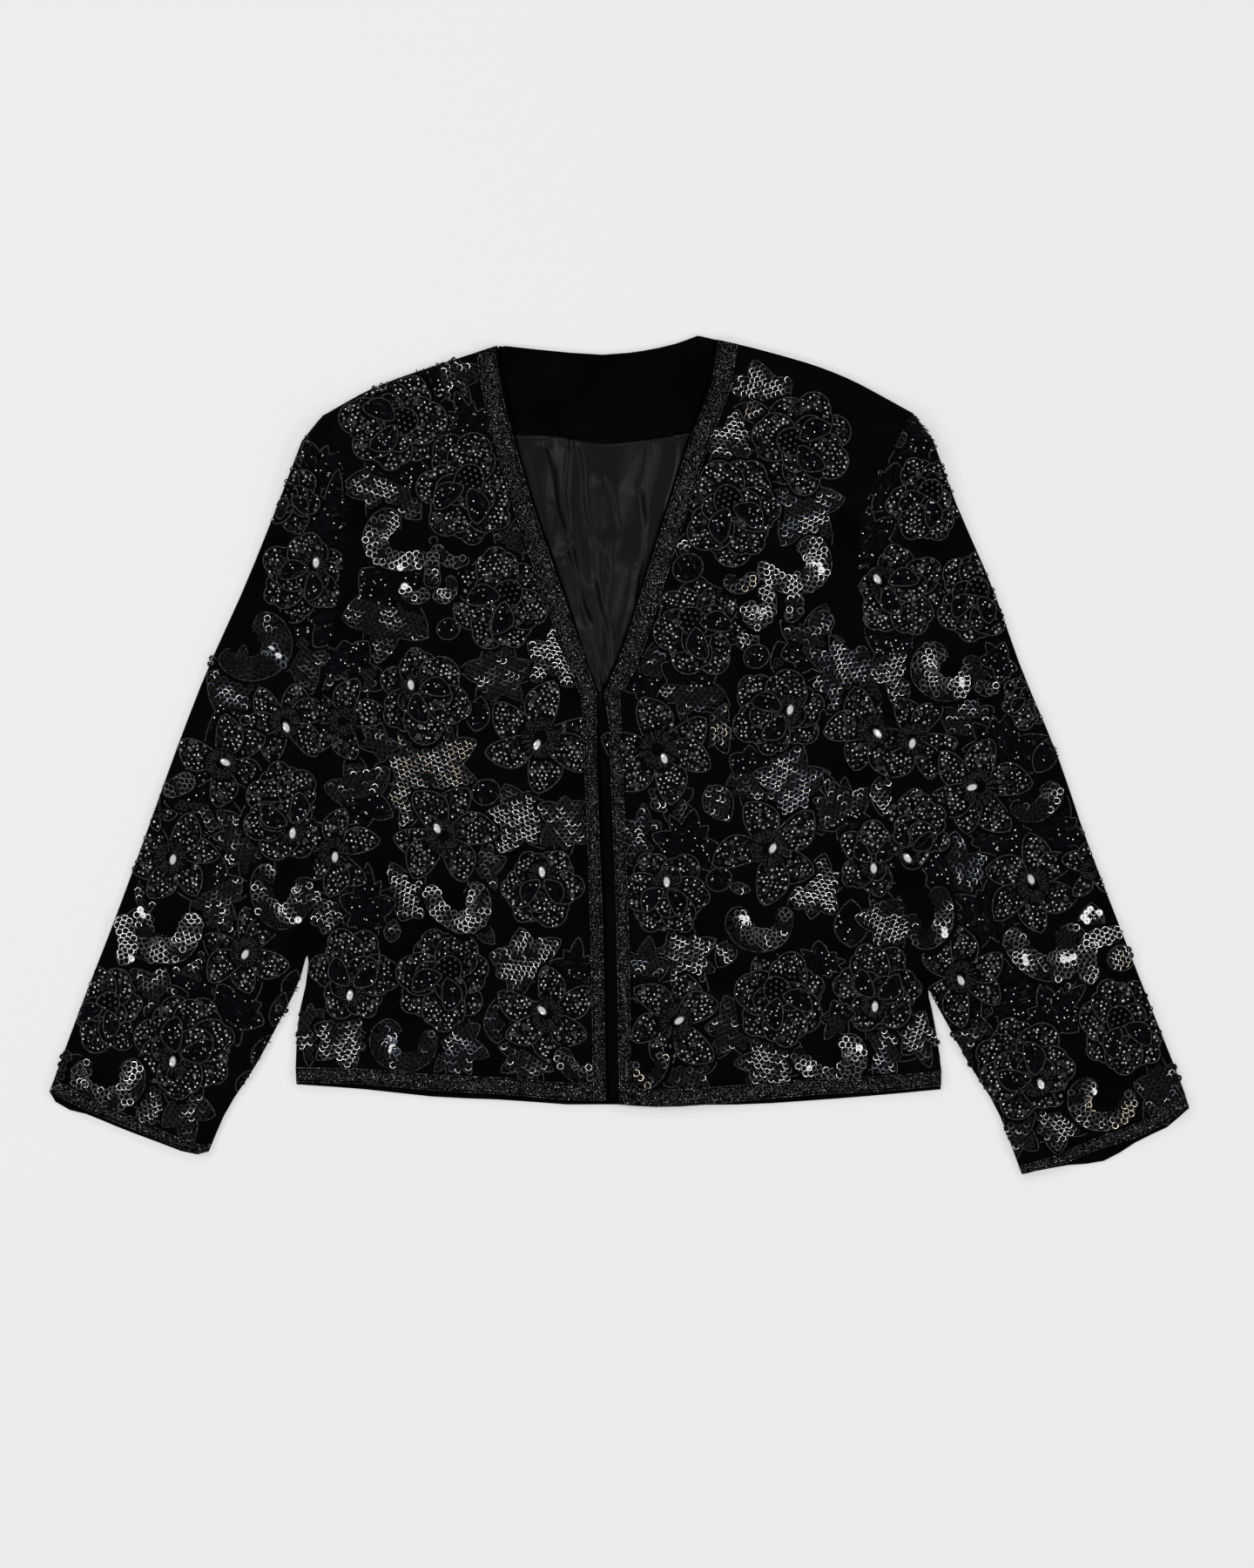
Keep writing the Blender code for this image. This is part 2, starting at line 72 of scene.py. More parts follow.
# Light: the world, and soft boxes as azimuth, angle from straight up, width (m) and power (W)
WORLD_GREY = 0.17
LAMP_DISTANCE = 3.2
LAMPS = (
    (20, 24, 0.45, 9), (140, 27, 0.45, 11), (255, 25, 0.42, 9),
    (0, 50, 0.50, 12), (52, 47, 0.45, 12), (103, 52, 0.50, 13), (155, 48, 0.50, 14),
    (206, 51, 0.50, 13), (257, 47, 0.45, 12), (309, 52, 0.50, 12),
)

# The paper under the jacket, in metres
FLOOR_HALF = 6.0
FLOOR_GAP = 0.0002
PAPER_GLOW = 0.385
PAPER_GREY = 0.46

# Maps of what shows from above: the step of the cloth's map and of the embroidery's, and the cloth's slope
CLOTH_STEP = 1.0
WORK_STEP = 0.5
MAP_MARGIN = 4.0
MAP_TOP = 100.0
SMOOTHINGS = 2
STEEPEST = 0.5

# Shells: what is welded (m), which faces are the upper side, and which edges stay sharp, in degrees
WELD = 1e-6
UPPER_SIDE = 0.3
SHARP_EDGE = 50

# How near two sewn pieces' edges are to be drawn together, and how much of the way
SEAM_REACH = 3.0
SEAM_PULL = 0.7

# Small uneven puckers in the beaded cloth, as wavelength and height, and where they fade to plain
PUCKERS = ((46.0, 0.55), (23.0, 0.28), (11.0, 0.12))
PUCKER_SEED = 11
PLAIN_BELOW = 2.6
PLAIN_FADE = 2.0

# Waves of uneven noise: how many, their shares of the wavelength, and what brings them to about 1
NOISE_WAVES = 5
NOISE_LENGTHS = (0.75, 1.4)
NOISE_TALLEST = 3

# How far a crease sways, over which length, and how it fades at its ends
CREASE_SWAY = 1.5
CREASE_WAVE = 11.0
CREASE_FADE = 14.0
CREASE_END = 0.6
CREASE_STEEP = 2.8
LINING_DEPTH = 0.0015
LINING_UPPER = 0.5

# The places of beads and sequins: what is between them, and between their rows as a share of it
OUTLINE_PITCH = 1.4
BAND_PITCH = 1.55
SEQUIN_PITCH = 4.0
CUP_ROW = 3.2
CUP_COLUMN = 4.9
BUGLE_PITCH = 1.15
OPEN_PITCH = 5.2
OPEN_ROW_SHARE = 0.8
RAY_PITCH = 2.1
ROW_SHARE = 0.87

# Their radius or length, the range of shares that it varies by, and their height over the cloth
OUTLINE_BEAD = 0.62
BAND_BEAD = 0.6
TOP_BEAD = 0.76
OPEN_BEAD = 1.05
SEQUIN = 2.0
CUP = 3.0
BUGLE_LENGTH = 3.9
STONE = (5.0, 3.1, 1.6)
SIZES = {
    "string": (0.92, 1.08), "sequin": (0.88, 1.08), "glint": (0.62, 1.18), "scale": (0.86, 1.0),
    "bugle": (0.9, 1.06), "band": (0.88, 1.1),
}
LIFTS = {
    "string": 0.45, "sequin": 0.35, "glint": 0.85, "scale": 0.95, "cup": 1.0, "bugle": 0.25, "lone": 0.9,
    "open": 0.6, "ray": 0.4, "stone": 1.0, "band": 0.3,
}

# How far each fill stays inside its region's edge
REACH = {"glint": 1.5, "scale": 2.1, "scroll": 1.7, "bugle": 1.4, "open": 1.2}

# How uneven the places are, and how sequins and scales lean: the middle and the spread, in radians
GLINT_UNEVEN = 0.5
SCALE_UNEVEN = 0.18
BAND_UNEVEN = 0.2
SEQUIN_TILT = 0.12
SCALE_TILT = (0.27, 0.05)
SCROLL_TILT = (0.28, 0.03)
BAND_TILT = 0.2

# How uneven a scale's, a scroll's cup's and a bugle bead's brightness, turn and lean are
SCALE_SPREAD = {"level": 0.7, "turn": 0.4, "toward": 0.18}
SCROLL_SPREAD = {"level": 0.25, "toward": 0.1}
BUGLE_SPREAD = {"turn": 0.09, "tilt": 0.05}

# Strings: how far inside an edge they lie, and how far a band's loose beads stay from them
STRING_INSET = 0.6
BAND_INSET = 0.75
STRING_ROOM = 1.25
BAND_UPPER = 0.7
BAND_SEED = 5

# Lines of beads in a flower's heart: how uneven, how short every second one and how small their beads are
RAY_UNEVEN = 0.03
RAY_SHORT = 0.35
RAY_BEAD = 0.85

# Bugle beads: how many lines are shifted on their own, how far they wave, and how many lone beads lie on them
# as painted glints, more in a bright region
MOST_LINES = 400
BUGLE_ROOM = 1.04
BUGLE_WAVE = 0.5
BUGLE_WAVE_LENGTH = 4.0
FEW_BEADS = (0.04, 0.16)

# A bead's and a sequin's disc: how many sides, and how high its middle and its rim are
BEAD_DISC = (6, 0.8, -0.15)
SEQUIN_DISC = (7, -0.07, 0.06)

# The rings of a cup and of a stone from which they are made, as radius and height; a stone's are shares
CUP_SIDES = 9
CUP_RINGS = ((0.2, 0.0), (0.76, 0.04), (0.93, 0.14), (1.0, 0.1))
# How many sides each way from a scale's front keep their material; the rest get painted shade
PAINTED_LIT_SIDES = 2
STONE_SIDES = 10
BUGLE_HALF = 0.46
STONE_RINGS = ((1.0, 0.0), (0.76, 0.75), (0.4, 1.0))

# Which materials beads and sequins have, and the chance of each
MIXES = {
    "string": {"smoke": 0.85, "gunmetal": 0.15},
    "sequin": {"jet": 0.66, "slate": 0.2, "smoke": 0.14},
    # The glint beads' silver and white shares are painted glints
    "glint": {"silver": 0.38, "white": 0.08, "steel": 0.2, "jet": 0.34},
    "bugle": {"slate": 0.58, "jet": 0.38, "smoke": 0.04},
    "lone": {"silver": 0.5, "steel": 0.5},
    "open": {"smoke": 0.6, "gunmetal": 0.4},
    "ray": {"smoke": 0.6, "jet": 0.4},
    "band": {"smoke": 0.36, "gunmetal": 0.19, "steel": 0.05, "jet": 0.40},
}

# Tints of cup sequins: the rim's material from dark to bright, as painted light: the dark steps are painted
# shade and the silver and white steps painted highlight, on the tint's own colour
TINTS = {
    "grey": ("ink", "slate", "gunmetal", "silver", "silver"),
    "silver": ("ink", "gunmetal", "silver", "silver", "silver"),
    "blue": ("ink", "slate", "blue", "silver", "silver"),
    "warm": ("ink", "gunmetal", "warm", "silver", "silver"),
    "white": ("gunmetal", "silver", "silver", "white", "white"),
}

# How a cup's step in its tint comes about, as painted light: from how bright its region is and from patches
# of painted light
PATCH_LENGTH = 26.0
PATCH_SEED = 40
PATCH_LEVELS = 1.3
BRIGHT_LEVELS = 2.4
SCROLL_DIM = 0.6
LEAF_DIM = -0.4
# Lone painted glints that raise a cup two steps, and where and how often a scroll's cups are painted whole
# white as painted highlight
LONE_GLINTS = 0.16
FULL_PATCH = 0.85
FULL_SHARE = 0.45

# Fills of a region, painted in order so that a later one hides what it covers
GLINT, SCALE, SCROLL, BUGLE, OPEN, RAYS, MIXED = range(7)

# Points of the outlines that are formulas, and how far a petal bends and how blunt a scroll's end is
LOBE_POINTS = 48
PETAL_POINTS = 16
CURVE_POINTS = 16
PETAL_BEND = 0.12
PETAL_FOOT, PETAL_TIP, PETAL_WIDEST = 0.75, 0.72, 0.36
LEAF_FOOT, LEAF_SIDES = 0.85, 0.8
LOBE_FAR = 0.3
CAP_LEAST = 0.12

# The bare velvet kept clear round each flower, leaf and scroll, and the gap round a stone
CHANNEL = 1.6
LEAST_RADIUS = 3.0
STONE_GAP = 5.2

# Peonies and star flowers as shares of their size: petals, inner petals, heart, and the two ribbed petals
PEONY = {
    "sway": 0.18, "reach": (0.52, 0.6), "length": (0.46, 0.54), "width": (0.42, 0.52), "notch": (0.14, 0.24),
    "inner_sway": (0.35, 0.65), "inner_reach": 0.24, "inner": (0.4, 0.33), "inner_notch": 0.08,
    "seat": (0.8, 0.2), "stone_heart": (0.36, 0.33), "rays": 0.35, "open_reach": 0.16,
    "open_heart": (0.36, 0.3), "ribbed_turn": 0.55, "ribbed_reach": 0.12, "ribbed": (0.74, 0.46),
}
STAR = {
    "sway": 0.12, "foot": 0.06, "length": (0.92, 1.1), "width": (0.58, 0.7), "heart": (0.38, 0.35),
    "rays": (0.14, 0.37),
}
SMALL_PEONY = 36
PEONY_PETALS = (6, 7)
SCALLOPS = (3, 5)

# Peonies: x, y, width, height, turn, and the stone by its heart as x, y and turn, if it has one
PEONIES = {
    "front_left": (
        (-181, 266, 84, 73, 10, None), (-123, 213, 72, 92, 70, None), (-95, 124, 74, 82, 40, None),
        (-156, 47, 69, 74, 100, (-167, 56, 98)), (-62, -107, 66, 62, 0, (-62, -94, 100)),
        (-214, -176, 69, 73, 120, (-216, -193, 80)), (-141, -179, 69, 83, 60, None),
    ),
    "front_right": (
        (146, 250, 80, 76, 170, None), (90, 197, 70, 91, 110, None), (64, 103, 74, 78, 140, None),
        (127, 33, 74, 69, 80, (137, 36, 75)), (37, -110, 70, 66, 180, (38, -102, 95)),
        (207, -187, 68, 72, 60, (205, -202, 85)), (130, -195, 70, 78, 120, None),
        (204, -83, 56, 60, 30, (204, -91, 95)),
    ),
    "sleeve_left": (
        (-264, 205, 44, 60, 100, None), (-254, 141, 66, 70, 80, (-243, 154, 85)),
        (-268, -45, 66, 78, 100, (-262, -63, 85)), (-413, -205, 52, 76, 60, None),
        (-350, -234, 80, 80, 110, (-358, -246, 85)),
    ),
    "sleeve_right": (
        (246, 205, 60, 74, 60, None), (227, 130, 68, 72, 110, (207, 141, 120)),
        (286, 126, 56, 76, 80, None), (238, -60, 52, 66, 90, (231, -83, 130)),
        (325, -252, 78, 78, 60, (338, -264, 110)), (404, -219, 66, 80, 110, None),
        (327, 44, 36, 52, 80, None),
    ),
}

# Star flowers: x, y, radius, turn, how many petals, and the stone beside the middle, if it has one
STARS = {
    "front_left": (
        (-63, 14, 44, 80, 6, (-66, 8, 65)), (-141, -65, 39, 60, 6, (-146, -59, 112)),
        (-229, -78, 34, 20, 6, (-228, -82, 85)), (-222, 27, 33, 75, 5, None),
        (-58, -208, 38, 95, 6, (-62, -205, 135)),
    ),
    "front_right": (
        (31, 4, 43, 100, 6, (36, -3, 110)), (204, 20, 37, 60, 6, (207, 17, 130)),
        (120, -75, 42, 120, 5, (123, -75, 62)), (45, -214, 39, 80, 6, (48, -213, 35)),
    ),
    "sleeve_left": (
        (-268, 26, 34, 70, 6, (-267, 22, 110)), (-319, -7, 36, 85, 6, (-316, -6, 155)),
        (-360, -82, 37, 60, 6, (-358, -84, 78)), (-300, -158, 34, 95, 6, (-300, -160, 60)),
        (-371, -46, 16, 0, 4, None),
    ),
    "sleeve_right": (
        (235, 13, 34, 110, 6, (235, 9, 75)), (289, -26, 40, 70, 6, (283, -26, 18)),
        (332, -104, 38, 100, 6, (330, -100, 112)), (274, -178, 36, 90, 6, (274, -181, 115)),
        (378, -92, 24, 90, 5, None),
    ),
}

# Leaves: x, y, length, width, turn, points, fill, how bright its painted light is, tint
LEAVES = {
    "front_left": (
        (-135, 302, 44, 33, 10, 3, MIXED, 0.4, "grey"), (-120, 264, 44, 34, 110, 3, BUGLE, 0.2, "grey"),
        (-186, 214, 52, 50, 250, 3, MIXED, 0.6, "grey"), (-85, 171, 34, 27, 70, 3, SCALE, 0.4, "grey"),
        (-185, 112, 62, 52, 255, 3, MIXED, 0.35, "grey"), (-92, 61, 42, 44, 300, 3, SCALE, 0.35, "grey"),
        (-113, 33, 30, 20, 80, 1, BUGLE, 0.1, "blue"), (-52, 80, 44, 34, 80, 3, SCALE, 0.9, "silver"),
        (-213, 60, 48, 42, 280, 3, MIXED, 0.35, "grey"), (-153, -16, 76, 66, 250, 5, SCALE, 0.75, "warm"),
        (-209, -27, 48, 40, 100, 3, MIXED, 0.3, "grey"), (-80, -55, 42, 42, 240, 3, SCALE, 0.8, "silver"),
        (-43, -60, 40, 32, 270, 3, SCALE, 0.6, "grey"), (-109, -90, 32, 25, 80, 3, SCALE, 0.5, "grey"),
        (-173, -110, 38, 34, 120, 3, SCALE, 0.8, "silver"),
        (-232, -120, 36, 28, 70, 3, SCALE, 0.7, "silver"), (-202, -118, 46, 34, 90, 3, BUGLE, 0.1, "blue"),
        (-107, -144, 22, 14, 310, 1, SCALE, 0.5, "grey"), (-72, -164, 44, 38, 30, 3, SCALE, 0.6, "silver"),
        (-36, -169, 34, 30, 80, 3, BUGLE, 0.1, "grey"), (-182, -141, 20, 14, 80, 1, SCALE, 0.4, "grey"),
        (-98, -213, 38, 22, 90, 1, SCALE, 0.4, "blue"), (-247, -225, 38, 22, 270, 3, SCALE, 0.5, "grey"),
        (-221, -230, 38, 36, 280, 3, SCALE, 0.6, "silver"),
        (-130, -239, 46, 38, 260, 5, SCALE, 0.5, "blue"), (-70, -247, 38, 38, 290, 5, SCALE, 0.45, "grey"),
    ),
    "front_right": (
        (113, 291, 48, 34, 160, 3, SCALE, 0.75, "silver"), (107, 275, 32, 18, 165, 1, SCALE, 0.7, "warm"),
        (88, 248, 44, 33, 80, 3, SCALE, 0.9, "silver"), (151, 195, 52, 46, 300, 3, SCALE, 0.75, "blue"),
        (51, 168, 22, 12, 75, 1, SCALE, 0.8, "silver"), (133, 76, 34, 26, 110, 1, SCALE, 0.55, "grey"),
        (153, 94, 44, 40, 70, 3, MIXED, 0.5, "grey"), (181, 60, 62, 46, 150, 5, SCALE, 0.8, "blue"),
        (24, 68, 40, 34, 70, 3, MIXED, 0.3, "blue"), (60, 50, 46, 44, 265, 3, MIXED, 0.3, "blue"),
        (81, 21, 28, 30, 0, 3, SCALE, 0.6, "warm"), (106, -22, 44, 32, 270, 3, MIXED, 0.5, "grey"),
        (142, -29, 60, 46, 300, 5, SCALE, 0.9, "blue"), (179, -44, 52, 40, 120, 5, MIXED, 0.6, "grey"),
        (211, -33, 34, 20, 270, 1, SCALE, 0.8, "silver"), (44, -39, 34, 26, 330, 3, SCALE, 0.7, "grey"),
        (80, -39, 34, 26, 300, 1, SCALE, 0.6, "grey"), (17, -66, 40, 26, 90, 3, SCALE, 0.5, "blue"),
        (54, -71, 42, 42, 80, 3, BUGLE, 0.1, "grey"), (97, -107, 18, 10, 350, 1, SCALE, 0.6, "silver"),
        (157, -105, 40, 36, 80, 3, SCALE, 0.85, "silver"), (186, -135, 40, 28, 90, 1, BUGLE, 0.1, "grey"),
        (216, -130, 44, 38, 110, 3, SCALE, 0.7, "silver"), (85, -160, 26, 18, 240, 1, SCALE, 0.7, "silver"),
        (56, -167, 46, 42, 300, 5, SCALE, 0.65, "silver"), (18, -172, 40, 32, 80, 3, MIXED, 0.3, "blue"),
        (160, -165, 32, 24, 170, 3, BUGLE, 0.2, "grey"), (91, -223, 38, 32, 240, 3, SCALE, 0.4, "grey"),
        (57, -256, 42, 34, 290, 5, SCALE, 0.5, "grey"), (121, -249, 44, 42, 260, 5, SCALE, 0.75, "silver"),
        (213, -241, 42, 38, 260, 5, SCALE, 0.6, "blue"), (241, -228, 36, 26, 290, 3, SCALE, 0.7, "silver"),
    ),
    "sleeve_left": (
        (-256, 245, 26, 20, 60, 1, SCALE, 0.8, "silver"), (-240, 230, 42, 36, 30, 3, BUGLE, 0.2, "grey"),
        (-233, 190, 58, 38, 80, 3, BUGLE, 0.1, "grey"), (-253, 89, 60, 44, 280, 3, MIXED, 0.4, "grey"),
        (-225, 103, 50, 38, 300, 3, BUGLE, 0.1, "grey"), (-327, 71, 28, 14, 110, 1, SCALE, 0.8, "warm"),
        (-311, 44, 66, 34, 80, 3, MIXED, 0.5, "blue"), (-335, -46, 52, 46, 260, 5, MIXED, 0.55, "grey"),
        (-302, -72, 52, 50, 220, 5, SCALE, 0.5, "grey"), (-323, -113, 52, 42, 300, 3, MIXED, 0.5, "grey"),
        (-373, -168, 46, 24, 340, 1, SCALE, 0.65, "warm"), (-341, -174, 66, 40, 70, 3, MIXED, 0.7, "blue"),
        (-374, -191, 38, 32, 130, 3, SCALE, 0.7, "grey"), (-307, -204, 48, 36, 50, 3, BUGLE, 0.15, "blue"),
        (-263, -184, 26, 16, 70, 1, BUGLE, 0.1, "grey"), (-273, -204, 30, 14, 70, 1, MIXED, 0.3, "grey"),
        (-286, -237, 30, 16, 60, 1, BUGLE, 0.1, "grey"), (-301, -262, 22, 12, 60, 1, SCALE, 0.5, "grey"),
        (-443, -253, 24, 22, 260, 3, SCALE, 0.6, "grey"),
        (-374, -276, 42, 38, 240, 3, SCALE, 0.6, "silver"),
        (-346, -285, 46, 32, 275, 3, SCALE, 0.35, "grey"), (-222, 62, 36, 22, 90, 1, BUGLE, 0.1, "grey"),
        (-380, -112, 30, 18, 100, 1, SCALE, 0.4, "grey"),
    ),
    "sleeve_right": (
        (236, 254, 50, 34, 80, 3, BUGLE, 0.15, "grey"), (223, 255, 20, 14, 100, 1, SCALE, 0.7, "blue"),
        (213, 214, 42, 32, 160, 3, BUGLE, 0.1, "grey"), (201, 176, 48, 36, 120, 3, BUGLE, 0.1, "grey"),
        (225, 71, 58, 36, 280, 3, MIXED, 0.7, "silver"), (279, 24, 54, 32, 90, 3, MIXED, 0.6, "blue"),
        (311, 5, 50, 44, 20, 5, BUGLE, 0.15, "blue"), (343, 1, 36, 20, 60, 1, BUGLE, 0.2, "grey"),
        (351, -62, 46, 44, 80, 3, BUGLE, 0.1, "blue"), (305, -69, 54, 40, 280, 5, BUGLE, 0.2, "blue"),
        (274, -90, 46, 42, 20, 3, MIXED, 0.6, "blue"), (295, -128, 52, 44, 200, 5, BUGLE, 0.1, "blue"),
        (379, -132, 28, 22, 90, 1, SCALE, 1.0, "white"), (347, -185, 46, 22, 15, 1, SCALE, 0.8, "silver"),
        (317, -196, 60, 44, 110, 3, BUGLE, 0.1, "blue"), (352, -204, 44, 36, 40, 3, BUGLE, 0.3, "blue"),
        (276, -203, 42, 34, 280, 3, SCALE, 0.5, "blue"), (281, -221, 50, 30, 280, 3, MIXED, 0.3, "grey"),
        (435, -266, 46, 32, 100, 3, SCALE, 0.4, "blue"), (351, -294, 40, 36, 280, 3, SCALE, 0.7, "silver"),
        (321, -304, 36, 26, 260, 3, SCALE, 0.5, "grey"), (245, 82, 26, 14, 70, 1, BUGLE, 0.2, "grey"),
        (388, -200, 24, 14, 60, 1, SCALE, 0.4, "grey"),
    ),
}

# Small round discs: x, y, radius, fill, how bright its painted light is, tint
DISCS = {
    "front_left": (
        (-137, 101, 10, BUGLE, 0.1, "grey"), (-107, -30, 12, BUGLE, 0.1, "grey"),
        (-149, 172, 4, SCALE, 1.0, "white"),
    ),
    "front_right": (
        (55, 150, 13, BUGLE, 0.1, "grey"), (103, 92, 10, SCALE, 0.9, "silver"),
        (110, 79, 11, BUGLE, 0.3, "blue"), (162, 106, 11, SCALE, 0.5, "blue"),
        (80, -100, 11, BUGLE, 0.2, "blue"), (112, 140, 4, SCALE, 1.0, "white"),
    ),
    "sleeve_left": ((-300, 28, 5, SCALE, 0.6, "grey"),),
    "sleeve_right": ((403, -163, 12, SCALE, 0.85, "warm"),),
}

# Scrolls: half widths at the start and the end, how bright its painted light is, tint, and the places that
# the middle passes
SCROLLS = {
    "front_left": (
        (10, 5, 1.05, "silver", ((-175, 188), (-189, 185), (-196, 172), (-189, 160), (-173, 155),
                                 (-153, 158))),
        (5, 3, 0.9, "silver", ((-149, 168), (-143, 160), (-132, 154), (-120, 157))),
        (4, 6, 0.9, "silver", ((-149, 164), (-150, 148), (-150, 133))),
        (5, 3, 0.8, "silver", ((-153, 132), (-161, 126), (-170, 128), (-173, 139))),
        (5, 3, 0.8, "silver", ((-148, 132), (-141, 126), (-134, 133), (-136, 144))),
        (5, 9, 1.0, "silver", ((-151, -104), (-148, -120), (-137, -130), (-125, -135), (-114, -129),
                               (-114, -114), (-124, -109))),
        (9, 5, 0.65, "blue", ((-176, -218), (-190, -226), (-186, -241), (-167, -246), (-154, -237),
                              (-153, -221))),
        (6, 5, 1.0, "silver", ((-48, -235), (-41, -250), (-30, -258), (-23, -248))),
    ),
    "front_right": (
        (10, 5, 1.0, "silver", ((143, 168), (157, 162), (160, 150), (152, 140), (136, 137), (121, 144),
                                (113, 154))),
        (5, 5, 1.0, "warm", ((85, 143), (94, 135), (104, 138), (110, 146))),
        (5, 6, 1.0, "silver", ((115, 136), (120, 124), (117, 112), (110, 107), (105, 114), (104, 123))),
        (7, 4, 0.8, "silver", ((139, 130), (141, 120), (139, 112), (132, 112))),
        (10, 5, 0.7, "silver", ((104, -127), (96, -134), (103, -146), (119, -149), (130, -141),
                                (134, -122))),
        (5, 5, 0.8, "warm", ((36, -238), (31, -254), (21, -263), (12, -257), (11, -246))),
        (5, 9, 0.9, "silver", ((144, -234), (147, -246), (160, -256), (175, -258), (187, -250),
                               (188, -237), (177, -228))),
    ),
    "sleeve_left": (
        (11, 7, 0.7, "blue", ((-294, 103), (-281, 101), (-274, 89), (-279, 76), (-295, 69), (-310, 74),
                              (-317, 84))),
        (7, 6, 0.9, "warm", ((-341, -17), (-350, -23), (-359, -27), (-367, -28))),
        (7, 8, 0.8, "silver", ((-277, -90), (-286, -99), (-287, -111), (-281, -125), (-270, -131),
                               (-258, -122), (-253, -109), (-257, -99))),
        (11, 7, 0.9, "silver", ((-374, -131), (-386, -137), (-384, -150), (-369, -156), (-353, -155),
                                (-344, -141), (-343, -126))),
        (6, 6, 0.9, "white", ((-400, -128), (-396, -141), (-394, -156), (-400, -168))),
        (5, 9, 0.9, "silver", ((-421, -253), (-431, -252), (-432, -263), (-421, -272), (-405, -276),
                               (-392, -268), (-391, -255), (-398, -247))),
    ),
    "sleeve_right": (
        (10, 6, 0.9, "silver", ((263, 81), (248, 77), (245, 64), (257, 53), (271, 54), (281, 65),
                                (284, 80))),
        (6, 5, 0.8, "silver", ((289, 68), (294, 53), (304, 61))),
        (7, 6, 0.7, "silver", ((234, -128), (237, -143), (248, -148), (259, -138), (260, -121),
                               (253, -106))),
        (8, 5, 0.8, "silver", ((339, -25), (347, -33), (337, -45), (325, -46), (315, -38))),
        (7, 11, 0.85, "silver", ((314, -139), (319, -153), (330, -166), (346, -171), (360, -164),
                                 (363, -150), (353, -140))),
        (5, 7, 0.85, "white", ((404, -141), (392, -145), (379, -149), (375, -160), (376, -171),
                               (379, -183))),
        (8, 5, 1.0, "warm", ((384, -267), (371, -270), (369, -283), (380, -293), (395, -293), (407, -284),
                             (408, -268))),
    ),
}

# A leaf's tips: angle from its main tip, reach and how wide the lobe spreads, in degrees
SMOOTH_TIPS = {
    3: ((0, 1.0, 40), (66, 0.96, 34), (-60, 0.9, 34), (128, 0.78, 36), (-122, 0.82, 34), (180, 0.66, 30)),
    5: ((0, 1.0, 27), (42, 0.86, 22), (-40, 0.92, 23), (84, 0.97, 26), (-80, 0.93, 25), (128, 0.8, 26),
        (-124, 0.84, 26), (172, 0.7, 28)),
}
TOOTHED_TIPS = {
    3: ((0, 1.0, 30), (38, 0.8, 20), (-38, 0.8, 20), (78, 0.98, 30), (-78, 0.98, 30), (118, 0.8, 20),
        (-118, 0.8, 20), (155, 0.78, 24), (-155, 0.78, 24)),
    5: ((0, 1.0, 22), (27, 0.78, 15), (-27, 0.78, 15), (54, 0.96, 22), (-54, 0.96, 22), (82, 0.78, 15),
        (-82, 0.78, 15), (110, 0.96, 22), (-110, 0.96, 22), (152, 0.78, 26), (-152, 0.78, 26)),
}

# A leaf's body as a share of its reach, the step of its outline in degrees, and how uneven its tips are
LEAF_BODY = 0.47
LEAF_STEP = 4.0
TIP_TURN = 5
TIP_REACH = (0.84, 1.08)

# How far leaves and scrolls have grown from the tables' sizes, and a disc's turn and width
LEAF_GROWTH = 1.38
SCROLL_GROWTH = 1.25
DISC_TURN = 0.4
DISC_WIDTH = 0.9

# Where small leaves fill what the motifs leave free: the lowest and the highest place, and their half sizes
SPARE = {
    "front_left": (-262, 130), "front_right": (-262, 110),
    "sleeve_left": (-165, 120), "sleeve_right": (-215, 110),
}
SPARE_SIZES = (15.0, 12.0)
SPARE_STEP = 3.0
SPARE_ROOM = 0.6
SPARE_LENGTH = 2.1
SPARE_WIDTH = 1.6
SPARE_TURN = (40, 320)
SPARE_BRIGHT = (0.2, 0.7)

# The first panel's seed; the others follow
FIRST_SEED = 100

# Soft troughs and ridges of the beaded cloth: two ends, how wide and how high
FOLDS = (
    ((-244, 78), (-316, 58), 15.0, -1.2), ((-256, -8), (-338, -34), 17.0, -1.3),
    ((-262, -38), (-318, -66), 12.0, 0.9), ((-286, -132), (-376, -118), 16.0, -1.1),
    ((-318, -238), (-402, -214), 14.0, 0.8), ((236, 64), (312, 52), 15.0, -1.1),
    ((246, -22), (330, -40), 16.0, -1.3), ((262, -66), (322, -94), 12.0, 0.9),
    ((276, -146), (372, -126), 17.0, -1.2), ((330, -260), (410, -232), 14.0, 0.8),
    ((-232, 66), (-168, 8), 16.0, -0.9), ((-236, -96), (-176, -148), 15.0, 0.8),
    ((-84, -262), (-98, -190), 14.0, -0.8), ((226, 60), (160, 0), 16.0, -0.9),
    ((234, -110), (176, -150), 15.0, 0.8), ((92, -264), (104, -196), 14.0, -0.8),
)

# Creases of the lining: two ends, how wide the soft side is and how high the crease stands
CREASES = (
    ((-44, 262), (-43, 158), 9.0, 2.4), ((-60, 262), (-52, 200), 7.0, 1.3),
    ((-14, 222), (-1, 180), 10.0, 1.6), ((-18, 170), (-10, 143), 8.0, 1.4),
    ((-43, 162), (-14, 50), 10.0, 3.0), ((-21, 138), (-15, 84), 7.0, 1.8), ((13, 214), (20, 184), 9.0, 1.4),
    ((10, 150), (-3, 60), 11.0, 1.5), ((-36, 250), (-8, 70), 17.0, 2.2),
    ((-62, 248), (-26, 108), 13.0, -2.8), ((22, 256), (12, 96), 15.0, 1.6),
    ((44, 250), (22, 120), 12.0, -2.0),
)

